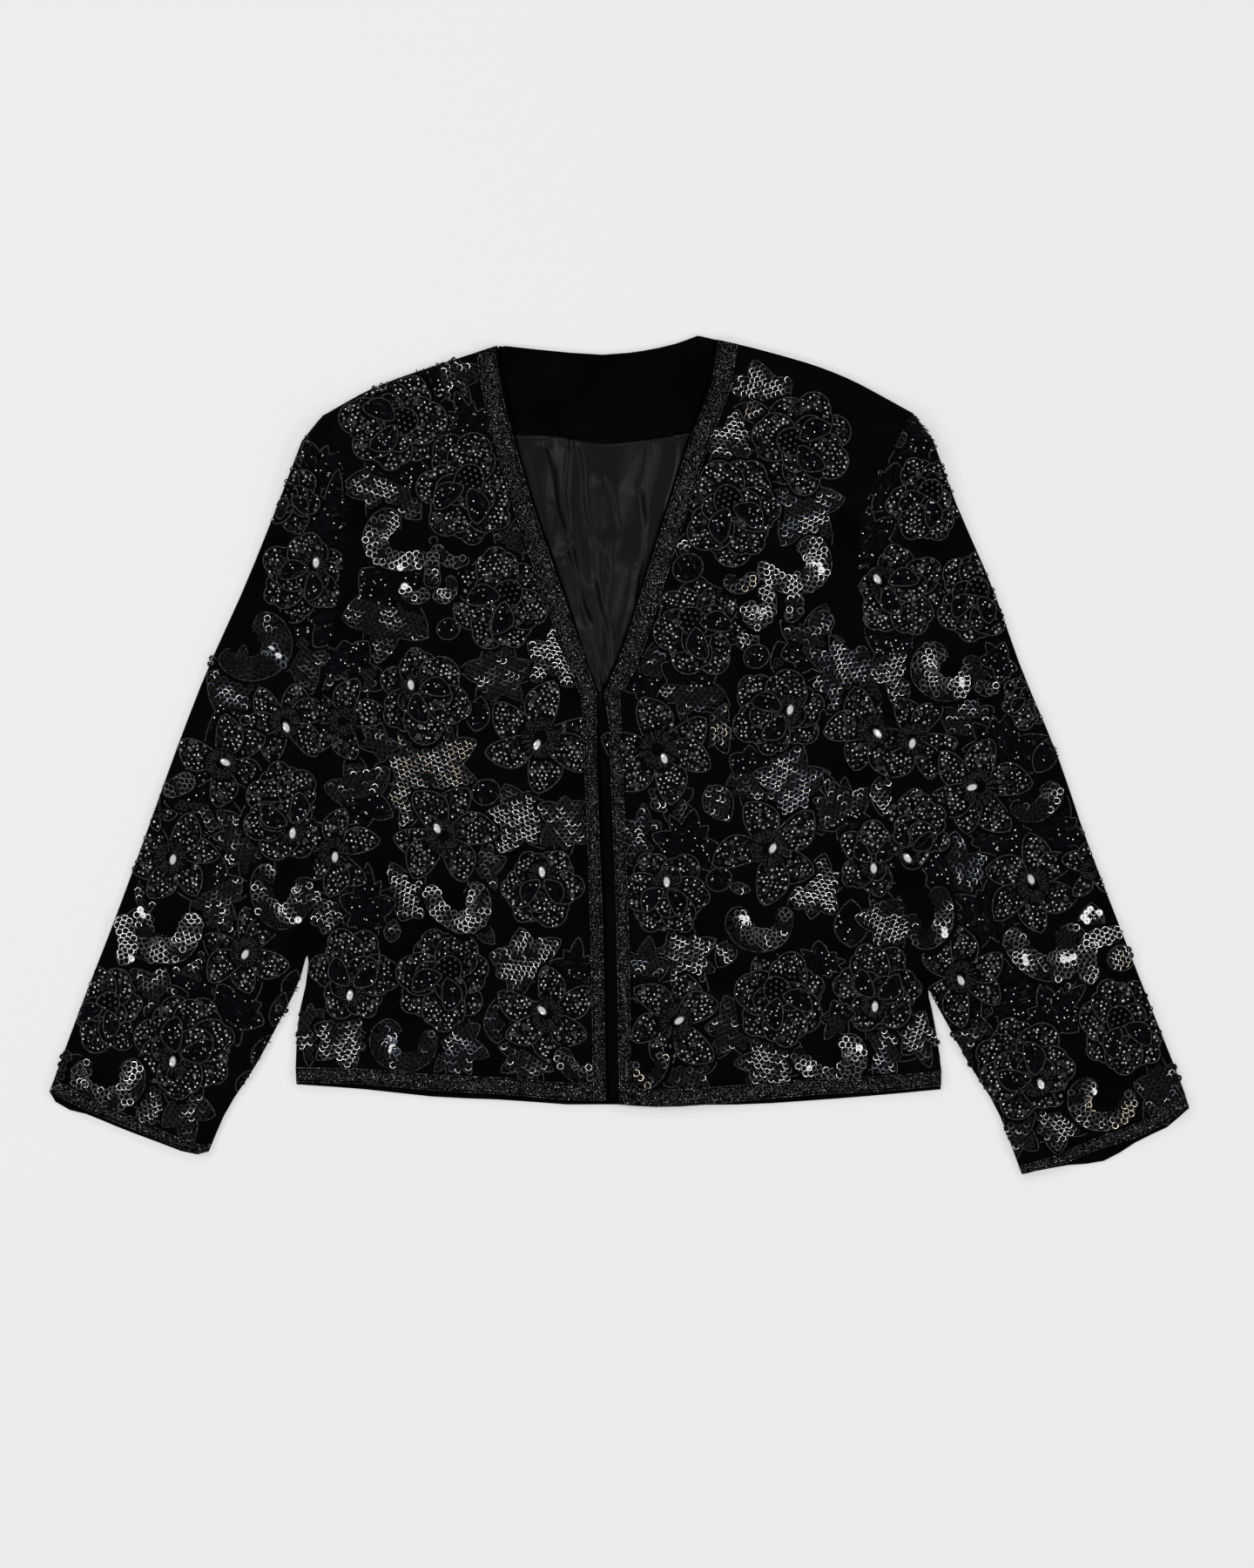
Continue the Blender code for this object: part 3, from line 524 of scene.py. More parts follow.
# Materials: colour, roughness, metallic, specular level
GLOSSY = {
    "ink": ((0.0015, 0.0015, 0.0018), 0.3, 0.0, 0.06),
    "jet": ((0.0022, 0.0022, 0.0026), 0.16, 0.0, 0.12),
    "smoke": ((0.020, 0.020, 0.022), 0.3, 0.0, 0.32),
    "slate": ((0.0045, 0.0045, 0.0068), 0.24, 0.0, 0.16),
    "gunmetal": ((0.085, 0.085, 0.095), 0.24, 0.75, 0.4),
    "steel": ((0.26, 0.26, 0.275), 0.22, 0.85, 0.5),
    "silver": ((0.60, 0.60, 0.62), 0.2, 0.9, 0.5),
    "white": ((0.85, 0.85, 0.84), 0.3, 0.2, 0.6),
    "crystal": ((0.60, 0.60, 0.59), 0.14, 0.1, 0.7),
    "warm": ((0.50, 0.43, 0.34), 0.2, 0.85, 0.5),
    "blue": ((0.12, 0.14, 0.18), 0.22, 0.8, 0.5),
}

# The cloth's shader: colour that wanders, a nap of fibres (m) and the width of its sheen
MOTTLE_SCALE = 26.0
MOTTLE_DETAIL = 5.0
MOTTLE_STOPS = (0.3, 0.72)
NAP_DETAIL = 2.0
NAP_HEIGHT = 0.0004
SHEEN_ROUGHNESS = 0.35


def principled(name, values):
    """A material with the given values on its shader's sockets."""
    made = bpy.data.materials.new(name)
    made.use_nodes = True
    for socket, value in values.items():
        made.node_tree.nodes["Principled BSDF"].inputs[socket].default_value = value
    return made


def glossy(name):
    """Glass and metal are the same all over, so their plain values sit on the shader's sockets."""
    colour, roughness, metallic, specular = GLOSSY[name]
    return principled(name, {"Base Color": (*colour, 1), "Roughness": roughness, "Metallic": metallic,
                             "Specular IOR Level": specular})


def cloth_material(name, dark, light, grain, rough, sheen, specular, bump):
    """Cloth whose colour wanders between two values, with a fine grain as bump."""
    made = principled(name, {"Roughness": rough, "Specular IOR Level": specular, "Sheen Weight": sheen,
                             "Sheen Roughness": SHEEN_ROUGHNESS})
    nodes, links = made.node_tree.nodes, made.node_tree.links
    shader = nodes["Principled BSDF"]
    place = nodes.new("ShaderNodeTexCoord")
    mottle = nodes.new("ShaderNodeTexNoise")
    mottle.inputs["Scale"].default_value = MOTTLE_SCALE
    mottle.inputs["Detail"].default_value = MOTTLE_DETAIL
    ramp = nodes.new("ShaderNodeValToRGB")
    for stop, position, colour in zip(ramp.color_ramp.elements, MOTTLE_STOPS, (dark, light)):
        stop.position = position
        stop.color = (*colour, 1)
    nap = nodes.new("ShaderNodeTexNoise")
    nap.inputs["Scale"].default_value = grain
    nap.inputs["Detail"].default_value = NAP_DETAIL
    raised = nodes.new("ShaderNodeBump")
    raised.inputs["Strength"].default_value = bump
    raised.inputs["Distance"].default_value = NAP_HEIGHT
    links.new(place.outputs["Object"], mottle.inputs["Vector"])
    links.new(place.outputs["Object"], nap.inputs["Vector"])
    links.new(mottle.outputs["Fac"], ramp.inputs["Fac"])
    links.new(ramp.outputs["Color"], shader.inputs["Base Color"])
    links.new(nap.outputs["Fac"], raised.inputs["Height"])
    links.new(raised.outputs["Normal"], shader.inputs["Normal"])
    return made


MATERIALS = {name: glossy(name) for name in GLOSSY}
SLOTS = list(GLOSSY)
VELVET = cloth_material("velvet", (0.0010, 0.0010, 0.0012), (0.0022, 0.0022, 0.0027), grain=1500.0,
                        rough=0.95, sheen=0.02, specular=0.01, bump=0.6)
SATIN = cloth_material("satin", (0.0020, 0.0020, 0.0022), (0.0038, 0.0038, 0.0040), grain=1100.0,
                       rough=0.35, sheen=0.0, specular=0.135, bump=0.1)


def add(name, data):
    obj = bpy.data.objects.new(name, data)
    bpy.context.scene.collection.objects.link(obj)
    return obj


def add_camera():
    camera = bpy.data.cameras.new("camera")
    camera.lens = LENS
    camera.sensor_fit = "VERTICAL"
    camera.sensor_height = SENSOR
    obj = add("camera", camera)
    obj.location = (VIEW_CENTRE[0] * MM, VIEW_CENTRE[1] * MM, VIEW_HEIGHT * MM * LENS / SENSOR)
    bpy.context.scene.camera = obj


def add_light():
    scene = bpy.context.scene
    world = bpy.data.worlds.new("world")
    world.use_nodes = True
    world.node_tree.nodes["Background"].inputs["Color"].default_value = (1, 1, 1, 1)
    world.node_tree.nodes["Background"].inputs["Strength"].default_value = WORLD_GREY
    scene.world = world
    scene.view_settings.view_transform = "Standard"
    middle = Vector((VIEW_CENTRE[0] * MM, VIEW_CENTRE[1] * MM, 0))
    for number, (azimuth, slant, width, power) in enumerate(LAMPS):
        turn, lean = math.radians(azimuth), math.radians(slant)
        way = Vector((math.sin(lean) * math.cos(turn), math.sin(lean) * math.sin(turn), math.cos(lean)))
        lamp = bpy.data.lights.new(f"soft_box_{number}", "AREA")
        lamp.size = width
        lamp.energy = power
        obj = add(lamp.name, lamp)
        obj.location = middle + way * LAMP_DISTANCE
        obj.rotation_euler = way.to_track_quat("Z", "Y").to_euler()


def add_floor():
    floor = bmesh.new()
    bmesh.ops.create_grid(floor, x_segments=1, y_segments=1, size=FLOOR_HALF)
    mesh = bpy.data.meshes.new("floor")
    floor.to_mesh(mesh)
    floor.free()
    mesh.materials.append(principled("paper", {
        "Base Color": (PAPER_GREY, PAPER_GREY, PAPER_GREY, 1), "Roughness": 0.9, "Specular IOR Level": 0.0,
        "Emission Color": (1, 1, 1, 1), "Emission Strength": PAPER_GLOW,
    }))
    obj = add("floor", mesh)
    obj.location.z = -FLOOR_GAP


def soft_noise(x, y, wavelength, seed):
    """A smooth uneven height from a few crossed waves, between about -1 and 1."""
    rng = np.random.default_rng(seed)
    height = np.zeros_like(x, float)
    for _ in range(NOISE_WAVES):
        turn, phase = rng.uniform(0, 2 * math.pi, 2)
        length = wavelength * rng.uniform(*NOISE_LENGTHS)
        height += np.sin(2 * math.pi * (x * math.cos(turn) + y * math.sin(turn)) / length + phase)
    return height / NOISE_TALLEST


def puckered(x, y):
    return sum(rise * soft_noise(x, y, length, PUCKER_SEED + n) for n, (length, rise) in enumerate(PUCKERS))


def creased(x, y, creases, steep=None):
    """Height of some creases that fade at their ends: as soft on both sides, or as steep as given on one."""
    height = np.zeros_like(x)
    for start, end, soft, rise in creases:
        start, way = np.array(start, float), np.subtract(end, start).astype(float)
        length = np.hypot(*way)
        way /= length
        along = (x - start[0]) * way[0] + (y - start[1]) * way[1]
        sway = CREASE_SWAY * np.sin(along / CREASE_WAVE)
        aside = (x - start[0]) * way[1] - (y - start[1]) * way[0] + sway
        fade = np.clip(np.minimum(along, length - along) / CREASE_FADE + CREASE_END, 0, 1)
        width = np.where(aside > 0, soft, steep or soft)
        height += rise * np.exp(-((aside / width) ** 2)) * fade**2 * (3 - 2 * fade)
    return height


def welded(mesh):
    """An editable copy of a mesh whose faces share their corners."""
    shape = bmesh.new()
    shape.from_mesh(mesh)
    bmesh.ops.remove_doubles(shape, verts=shape.verts, dist=WELD)
    return shape


def shell(node, levels, material, rise):
    """A finer copy of a cloth solid, welded and divided, its upper side puckered by the given share."""
    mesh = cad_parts[node].data.copy()
    shape = welded(mesh)
    for _ in range(levels):
        bmesh.ops.subdivide_edges(shape, edges=shape.edges, cuts=1, use_grid_fill=True)
    for face in shape.faces:
        face.smooth = True
    shape.normal_update()
    places = np.array([vertex.co for vertex in shape.verts]) / MM
    facing = np.array([vertex.normal.z for vertex in shape.verts])
    share = np.clip((places[:, 2] - PLAIN_BELOW) / PLAIN_FADE, 0, 1)
    share *= np.where(facing > UPPER_SIDE, facing, 0)
    lift = puckered(places[:, 0], places[:, 1]) + creased(places[:, 0], places[:, 1], FOLDS)
    for vertex, raised in zip(shape.verts, rise * share * lift):
        vertex.co.z += raised * MM
    shape.to_mesh(mesh)
    shape.free()
    mesh.set_sharp_from_angle(angle=math.radians(SHARP_EDGE))
    mesh.materials.clear()
    mesh.materials.append(material)
    piece = add(node + "_cloth", mesh)
    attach(piece, "root")
    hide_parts(node)
    return piece


def tree_of(points):
    tree = KDTree(len(points))
    for number, point in enumerate(points):
        tree.insert(point, number)
    tree.balance()
    return tree


def sew(first, second):
    """Draws the facing edges of two cloth pieces together, as a seam does, so that no light shows between."""
    points = [np.array([v.co for v in piece.data.vertices]) for piece in (first, second)]
    trees = [tree_of(cloud) for cloud in points]
    for piece, cloud, other in zip((first, second), points, reversed(trees)):
        moved = cloud.copy()
        for number, point in enumerate(cloud):
            near, _, distance = other.find(point)
            if distance < SEAM_REACH * MM:
                moved[number, :2] += SEAM_PULL * (np.array(near)[:2] - point[:2])
        piece.data.vertices.foreach_set("co", moved.ravel())
        piece.data.update()


class ClothMap:
    """What shows from above: for each place of a grid the piece, its height and its slope."""

    def __init__(self, pieces):
        self.low = np.array([cad_low.x, cad_low.y]) / MM - MAP_MARGIN
        high = np.array([cad_high.x, cad_high.y]) / MM + MAP_MARGIN
        self.shape = np.ceil((high - self.low) / CLOTH_STEP).astype(int) + 1
        points, faces, owners = [], [], []
        self.names = [name for name, _ in pieces]
        for number, (_, obj) in enumerate(pieces):
            start = len(points)
            points += [v.co / MM for v in obj.data.vertices]
            faces += [[start + i for i in face.vertices] for face in obj.data.polygons]
            owners += [number] * len(obj.data.polygons)
        tree = BVHTree.FromPolygons(points, faces)
        self.piece = np.full(self.shape, -1, int)
        self.height = np.zeros(self.shape)
        down = Vector((0, 0, -1))
        for i in range(self.shape[0]):
            x = self.low[0] + i * CLOTH_STEP
            for j in range(self.shape[1]):
                above = Vector((x, self.low[1] + j * CLOTH_STEP, MAP_TOP))
                hit, _, index, _ = tree.ray_cast(above, down)
                if hit is not None:
                    self.piece[i, j] = owners[index]
                    self.height[i, j] = hit.z
        smooth = self.height.copy()
        for _ in range(SMOOTHINGS):
            smooth[1:-1, 1:-1] = (smooth[1:-1, 1:-1] + smooth[2:, 1:-1] + smooth[:-2, 1:-1]
                                  + smooth[1:-1, 2:] + smooth[1:-1, :-2]) / 5
        slopes = np.gradient(smooth, CLOTH_STEP)
        self.slopes = [np.clip(slope, -STEEPEST, STEEPEST) for slope in slopes]

    def cells(self, x, y):
        found = np.rint((np.stack([x, y], axis=-1) - self.low) / CLOTH_STEP).astype(int)
        found = np.clip(found, 0, self.shape - 1)
        return found[..., 0], found[..., 1]

    def is_on(self, name, x, y):
        return self.piece[self.cells(x, y)] == self.names.index(name)

    def surface(self, x, y):
        """The height, read between the grid's places, and both slopes."""
        across, up = (x - self.low[0]) / CLOTH_STEP, (y - self.low[1]) / CLOTH_STEP
        i = np.clip(across.astype(int), 0, self.shape[0] - 2)
        j = np.clip(up.astype(int), 0, self.shape[1] - 2)
        s, t = across - i, up - j
        near = self.cells(x, y)
        height = np.zeros(len(x))
        corners = ((0, 0, (1 - s) * (1 - t)), (1, 0, s * (1 - t)), (0, 1, (1 - s) * t), (1, 1, s * t))
        for di, dj, share in corners:
            same = self.piece[i + di, j + dj] == self.piece[near]
            height += share * np.where(same, self.height[i + di, j + dj], self.height[near])
        return height, self.slopes[0][near], self.slopes[1][near]


def polygon_cells(polygon, low, shape, step):
    """The cells of a grid whose middles lie in a polygon, as index arrays."""
    first = np.maximum(np.floor((polygon.min(axis=0) - low) / step).astype(int), 0)
    last = np.minimum(np.ceil((polygon.max(axis=0) - low) / step).astype(int) + 1, shape)
    if (last <= first).any():
        return np.array([], int), np.array([], int)
    i, j = np.meshgrid(np.arange(first[0], last[0]), np.arange(first[1], last[1]), indexing="ij")
    x, y = low[0] + i * step, low[1] + j * step
    within = np.zeros(x.shape, bool)
    for (ax, ay), (bx, by) in zip(polygon, np.roll(polygon, -1, axis=0)):
        if ay != by:
            within ^= ((ay > y) != (by > y)) & (x < (bx - ax) * (y - ay) / (by - ay) + ax)
    return i[within], j[within]


def rotated(points, turn):
    c, s = math.cos(turn), math.sin(turn)
    return np.array(points) @ np.array([[c, s], [-s, c]])


def beside(x, y, reach, angle):
    """The place that lies some way off at an angle."""
    return x + reach * math.cos(angle), y + reach * math.sin(angle)


def scaled(size, shares):
    return [size * share for share in shares]


def round_lobe(x, y, half_length, half_width, turn, scallops=2, depth=0.0):
    """An oval whose far end is cut into round scallops with sharp notches between them."""
    angle = np.linspace(0, 2 * math.pi, LOBE_POINTS, endpoint=False)
    far = np.clip(LOBE_FAR + np.cos(angle), 0, 1)
    reach = 1 - depth * far * (1 - np.sqrt(np.abs(np.cos(scallops * angle / 2))))
    local = np.stack([half_length * reach * np.cos(angle), half_width * reach * np.sin(angle)], axis=1)
    return rotated(local, turn) + (x, y)


def pointed_petal(x, y, length, width, turn, bend):
    """A petal from its foot at x, y to a pointed tip, widest past the middle and bent to one side."""
    share = np.linspace(0, 1, PETAL_POINTS)
    half = width / 2 * (share**PETAL_FOOT) * ((1 - share) ** PETAL_TIP) / PETAL_WIDEST
    middle = bend * length * np.sin(math.pi * share) * PETAL_BEND
    along = share * length
    upper = np.stack([along, middle + half], axis=1)
    lower = np.stack([along, middle - half], axis=1)[::-1]
    return rotated(np.vstack([upper, lower[1:-1]]), turn) + (x, y)


def leaf_outline(x, y, length, width, turn, tips, toothed, rng):
    """A plain pointed leaf, or one with three or five tips, with or without teeth between them."""
    if tips == 1:
        share = np.linspace(0, 1, PETAL_POINTS - 2)
        half = width / 2 * np.sin(math.pi * share**LEAF_FOOT) ** LEAF_SIDES
        upper = np.stack([(share - 0.5) * length, half], axis=1)
        local = np.vstack([upper, (upper * (1, -1))[::-1][1:-1]])
        return rotated(local, math.radians(turn)) + (x, y)
    angle = np.radians(np.arange(0, 360, LEAF_STEP))
    reach = np.full(angle.shape, LEAF_BODY)
    for tip, far, spread in (TOOTHED_TIPS if toothed else SMOOTH_TIPS)[tips]:
        tip = math.radians(tip + rng.uniform(-TIP_TURN, TIP_TURN))
        off = np.abs((angle - tip + math.pi) % (2 * math.pi) - math.pi) / math.radians(spread)
        far *= rng.uniform(*TIP_REACH)
        reach = np.maximum(reach, LEAF_BODY + (far - LEAF_BODY) * np.clip(1 - off, 0, 1))
    local = np.stack([reach * np.cos(angle), reach * np.sin(angle)], axis=1)
    local = (local - local.min(axis=0)) / np.ptp(local, axis=0) - 0.5
    return rotated(local * (length, width) * LEAF_GROWTH, math.radians(turn)) + (x, y)


def lengths(line):
    """How far along a line each of its points lies."""
    return np.concatenate([[0], np.cumsum(np.hypot(*np.diff(line, axis=0).T))])


def places_at(line, at):
    """X and Y of the places that lie some distances along a line."""
    return [np.interp(at, lengths(line), line[:, k]) for k in (0, 1)]


def directions(line):
    tangent = np.gradient(line, axis=0)
    return tangent / np.hypot(*tangent.T)[:, None]


def curve_through(places):
    """Points about a millimetre apart on a smooth line through the places."""
    knots = np.array(places, float)
    ends = np.vstack([2 * knots[0] - knots[1], knots, 2 * knots[-1] - knots[-2]])
    t = np.linspace(0, 1, CURVE_POINTS, endpoint=False)[:, None]
    dense = [0.5 * (2 * b + (c - a) * t + (2 * a - 5 * b + 4 * c - d) * t**2
                    + (3 * b - a - 3 * c + d) * t**3)
             for a, b, c, d in zip(ends, ends[1:], ends[2:], ends[3:])]
    dense = np.vstack([*dense, knots[-1:]])
    whole = lengths(dense)[-1]
    return np.stack(places_at(dense, np.linspace(0, whole, max(int(whole), 3))), axis=1)


def scroll_outline(line, start, end):
    """The outline of a curl: round at both ends, its half width going from start to end."""
    way = directions(line)
    normal = np.stack([-way[:, 1], way[:, 0]], axis=1)
    share = np.linspace(0, 1, len(line))
    half = start + (end - start) * share
    to_end = np.minimum(share, 1 - share) * len(line)
    caps = np.sqrt(np.clip(1 - (1 - to_end / half) ** 2, 0, 1))
    half = half * np.where(to_end < half, np.maximum(caps, CAP_LEAST), 1)
    return np.vstack([line + normal * half[:, None], (line - normal * half[:, None])[::-1]])


def pick(rng, mix, count):
    """Material slots drawn by the chances of a mix."""
    chances = np.array(list(mix.values()))
    return rng.choice([SLOTS.index(name) for name in mix], size=count, p=chances / sum(mix.values()))


class Embroidery:
    """The regions of one panel and the beads and sequins that fill them."""

    def __init__(self, panel, cloth, seed):
        self.panel, self.cloth = panel, cloth
        self.rng = np.random.default_rng(seed)
        self.low = cloth.low
        self.shape = (np.array(cloth.shape) * CLOTH_STEP / WORK_STEP).astype(int)
        self.owner = np.full(self.shape, -1, np.int32)
        self.regions = []
        self.sown = {kind: [] for kind in ("bead", "sequin", "cup", "scale", "bugle", "stone")}

    def clear(self, outlines):
        """Leaves bare velvet under and a little way round some outlines."""
        for outline in outlines:
            middle = outline.mean(axis=0)
            off = outline - middle
            grown = middle + off * (1 + CHANNEL / np.maximum(np.hypot(*off.T), LEAST_RADIUS))[:, None]
            self.owner[polygon_cells(grown, self.low, self.shape, WORK_STEP)] = -1

    def region(self, outline, fill, turn, bright=0.5, tint="grey", line=None, edge=True):
        number = len(self.regions)
        self.regions.append({"outline": outline, "fill": fill, "turn": turn, "bright": bright, "tint": tint,
                             "line": line, "edge": edge})
        self.owner[polygon_cells(outline, self.low, self.shape, WORK_STEP)] = number

    def owned(self, number, x, y, reach=0.0):
        """Whether a region still shows at each place and, if asked, all round it."""
        keep = self.cloth.is_on(self.panel, x, y)
        ring = [(0.0, 0.0)]
        if reach:
            ring += [(reach * math.cos(a), reach * math.sin(a)) for a in np.radians(range(0, 360, 60))]
        for dx, dy in ring:
            i = np.clip(((x + dx - self.low[0]) / WORK_STEP).round().astype(int), 0, self.shape[0] - 1)
            j = np.clip(((y + dy - self.low[1]) / WORK_STEP).round().astype(int), 0, self.shape[1] - 1)
            keep &= self.owner[i, j] == number
        return keep

    def shown(self, number, x, y, reach=0.0, within=True):
        """The places, of those within a part, that a region still shows at."""
        keep = self.owned(number, x, y, reach) & within
        return x[keep], y[keep]

    def jittered(self, x, y, uneven):
        return x + self.rng.normal(0, uneven, len(x)), y + self.rng.normal(0, uneven, len(y))

    def sow(self, kind, x, y, materials, lift, turn=0.0, tilt=0.0, toward=0.0, size=1.0):
        """Notes a small shape at each place, with its turn, how far and which way it leans, and its size."""
        if len(x):
            columns = [np.broadcast_to(np.asarray(v, float), len(x))
                       for v in (x, y, turn, tilt, toward, size, lift)]
            self.sown[kind].append((np.stack(columns, axis=1), np.asarray(materials)))

    def sow_beads(self, mix, x, y, size, **others):
        self.sow("bead", x, y, pick(self.rng, MIXES[mix], len(x)), LIFTS[mix], size=size, **others)

    def lattice(self, number, along, across, stagger=0.5):
        """Places of a turned, staggered grid over a region."""
        region = self.regions[number]
        outline, turn = region["outline"], region["turn"]
        middle = outline.mean(axis=0)
        local = rotated(outline - middle, -turn)
        low, high = local.min(axis=0), local.max(axis=0)
        rows = np.arange(low[0], high[0] + along, along)
        columns = np.arange(low[1] - across, high[1] + across, across)
        u, v = np.meshgrid(rows, columns, indexing="ij")
        v = v + across * stagger * (np.arange(len(rows))[:, None] % 2)
        places = rotated(np.stack([u.ravel(), v.ravel()], axis=1), turn) + middle
        return places[:, 0], places[:, 1], u.ravel()

    def string(self, number):
        """One string of seed beads just inside a region's edge."""
        outline = self.regions[number]["outline"]
        closed = np.vstack([outline, outline[:1]])
        x, y = places_at(closed, np.arange(0, lengths(closed)[-1], OUTLINE_PITCH))
        middle = outline.mean(axis=0)
        off = np.hypot(x - middle[0], y - middle[1]) + 1e-6
        x, y = x - STRING_INSET * (x - middle[0]) / off, y - STRING_INSET * (y - middle[1]) / off
        x, y = self.shown(number, x, y)
        materials = pick(self.rng, MIXES["string"], len(x))
        self.sow("bead", x, y, materials, LIFTS["string"],
                 size=OUTLINE_BEAD * self.rng.uniform(*SIZES["string"], len(x)),
                 turn=self.rng.uniform(0, math.pi, len(x)))

    def fill_glint(self, number):
        """Dark sequins, each held by a small bead, whose silver and white shares are painted glints."""
        x, y, _ = self.lattice(number, SEQUIN_PITCH * ROW_SHARE, SEQUIN_PITCH)
        x, y = self.jittered(x, y, GLINT_UNEVEN)
        x, y = self.shown(number, x, y, REACH["glint"])
        count = len(x)
        self.sow("sequin", x, y, pick(self.rng, MIXES["sequin"], count), LIFTS["sequin"],
                 turn=self.rng.uniform(0, math.pi, count),
                 tilt=np.abs(self.rng.normal(0, SEQUIN_TILT, count)),
                 toward=self.rng.uniform(0, 2 * math.pi, count),
                 size=SEQUIN * self.rng.uniform(*SIZES["sequin"], count))
        # Which beads glint is painted into their material: silver and white for painted glints, steel and jet
        # for the rest
        materials = pick(self.rng, MIXES["glint"], count)
        self.sow("bead", x, y, materials, LIFTS["glint"],
                 size=TOP_BEAD * self.rng.uniform(*SIZES["glint"], count),
                 turn=self.rng.uniform(0, math.pi, count))

    def cup_materials(self, number, x, y, uneven):
        """Picks each cup's material as painted light: brighter in patches of painted light, more so in a
        bright region.
        """
        region = self.regions[number]
        scroll = region["fill"] == SCROLL
        count = len(x)
        light_patch = np.clip(soft_noise(x, y, PATCH_LENGTH, PATCH_SEED + number), -1, 1)
        level = region["bright"] * BRIGHT_LEVELS + PATCH_LEVELS * light_patch - (SCROLL_DIM if scroll else LEAF_DIM)
        level = level + self.rng.normal(0, uneven, count)
        names = TINTS[region["tint"]]
        # Some cups are raised two steps at random as lone painted glints
        level = np.where(self.rng.random(count) < LONE_GLINTS * uneven, level + 2, level)
        step = np.clip(level, 0, len(names) - 1).astype(int)
        materials = np.array([SLOTS.index(name) for name in names])[step]
        # On a scroll, cups in the brightest patches are painted whole white as painted highlight
        if scroll:
            full = (light_patch > FULL_PATCH) & (self.rng.random(count) < FULL_SHARE * region["bright"])
            materials[full] = SLOTS.index("white")
        return materials

    def fill_scale(self, number, part=None):
        """Cup sequins that overlap like scales, row on row."""
        turn = self.regions[number]["turn"]
        x, y, u = self.lattice(number, CUP_ROW, CUP_COLUMN)
        x, y = self.shown(number, x, y, REACH["scale"], part is None or part(u))
        x, y = self.jittered(x, y, SCALE_UNEVEN)
        count = len(x)
        self.sow("scale", x, y, self.cup_materials(number, x, y, SCALE_SPREAD["level"]), LIFTS["scale"],
                 turn=turn + self.rng.normal(0, SCALE_SPREAD["turn"], count),
                 tilt=self.rng.normal(*SCALE_TILT, count),
                 toward=turn + math.pi + self.rng.normal(0, SCALE_SPREAD["toward"], count),
                 size=CUP * self.rng.uniform(*SIZES["scale"], count))

    def fill_scroll(self, number):
        """Cup sequins in rows across a curl, each row leaning on the next."""
        line, start, end = self.regions[number]["line"]
        tangent = directions(line)
        count = len(line)
        for row, at in enumerate(np.arange(1.0, count - 1, CUP_ROW)):
            place, way = line[int(at)], tangent[int(at)]
            half = start + (end - start) * at / count
            steps = np.arange(-math.ceil(half / CUP_COLUMN), math.ceil(half / CUP_COLUMN) + 1)
            across = (steps + 0.5 * (row % 2)) * CUP_COLUMN
            x, y = place[0] - way[1] * across, place[1] + way[0] * across
            x, y = self.shown(number, x, y, REACH["scroll"])
            turn = math.atan2(way[1], way[0])
            materials = self.cup_materials(number, x, y, SCROLL_SPREAD["level"])
            self.sow("cup", x, y, materials, LIFTS["cup"], turn=turn,
                     tilt=self.rng.normal(*SCROLL_TILT, len(x)),
                     toward=turn + self.rng.normal(0, SCROLL_SPREAD["toward"], len(x)), size=CUP)

    def fill_bugle(self, number, part=None):
        """Fine bugle beads laid side by side in lines that wave a little."""
        region = self.regions[number]
        turn = region["turn"]
        x, y, u = self.lattice(number, BUGLE_PITCH, BUGLE_LENGTH * BUGLE_ROOM, stagger=0.0)
        line = np.rint((u - u.min()) / BUGLE_PITCH).astype(int)
        shift = self.rng.uniform(0, BUGLE_LENGTH, MOST_LINES)[line % MOST_LINES]
        wave = BUGLE_WAVE * np.sin((x * math.sin(turn) - y * math.cos(turn)) / BUGLE_WAVE_LENGTH)
        x = x - math.sin(turn) * shift + math.cos(turn) * wave
        y = y + math.cos(turn) * shift + math.sin(turn) * wave
        x, y = self.shown(number, x, y, REACH["bugle"], part is None or part(u))
        count = len(x)
        self.sow("bugle", x, y, pick(self.rng, MIXES["bugle"], count), LIFTS["bugle"],
                 turn=turn + math.pi / 2 + self.rng.normal(0, BUGLE_SPREAD["turn"], count),
                 size=self.rng.uniform(*SIZES["bugle"], count),
                 tilt=self.rng.normal(0, BUGLE_SPREAD["tilt"], count))
        # Lone silver and steel beads are painted glints, more of them where the region is bright
        few = self.rng.random(count) < FEW_BEADS[0] + FEW_BEADS[1] * region["bright"]
        self.sow_beads("lone", x[few], y[few], TOP_BEAD)

    def fill_mixed(self, number):
        """Bugle beads on one half and scales on the other."""
        self.fill_bugle(number, lambda u: u < 0)
        self.fill_scale(number, lambda u: u >= 0)

    def fill_open(self, number):
        """Bare velvet with a sparse grid of single beads."""
        x, y, _ = self.lattice(number, OPEN_PITCH * OPEN_ROW_SHARE, OPEN_PITCH)
        self.sow_beads("open", *self.shown(number, x, y, REACH["open"]), OPEN_BEAD)

    def fill_rays(self, number):
        """Lines of seed beads that run out from a flower's middle, left open round a black gap."""
        middle, inner, outer = self.regions[number]["line"]
        rays = int(2 * math.pi * outer / RAY_PITCH)
        for ray in range(rays):
            angle = 2 * math.pi * ray / rays + self.rng.normal(0, RAY_UNEVEN)
            first = inner if ray % 2 == 0 else inner + RAY_SHORT * (outer - inner)
            reach = np.arange(first, outer, OUTLINE_PITCH)
            self.sow_beads("ray", *self.shown(number, *beside(*middle, reach, angle)),
                           OUTLINE_BEAD * RAY_BEAD)

    def stone(self, x, y, turn):
        self.sow("stone", np.array([x]), np.array([y]), pick(self.rng, {"crystal": 1}, 1), LIFTS["stone"],
                 turn=math.radians(turn))

    def petals(self, around):
        """Lays a flower's petals, each an outline and its turn, over what is there."""
        self.clear(out for out, _ in around)
        for out, angle in around:
            self.region(out, GLINT, angle)

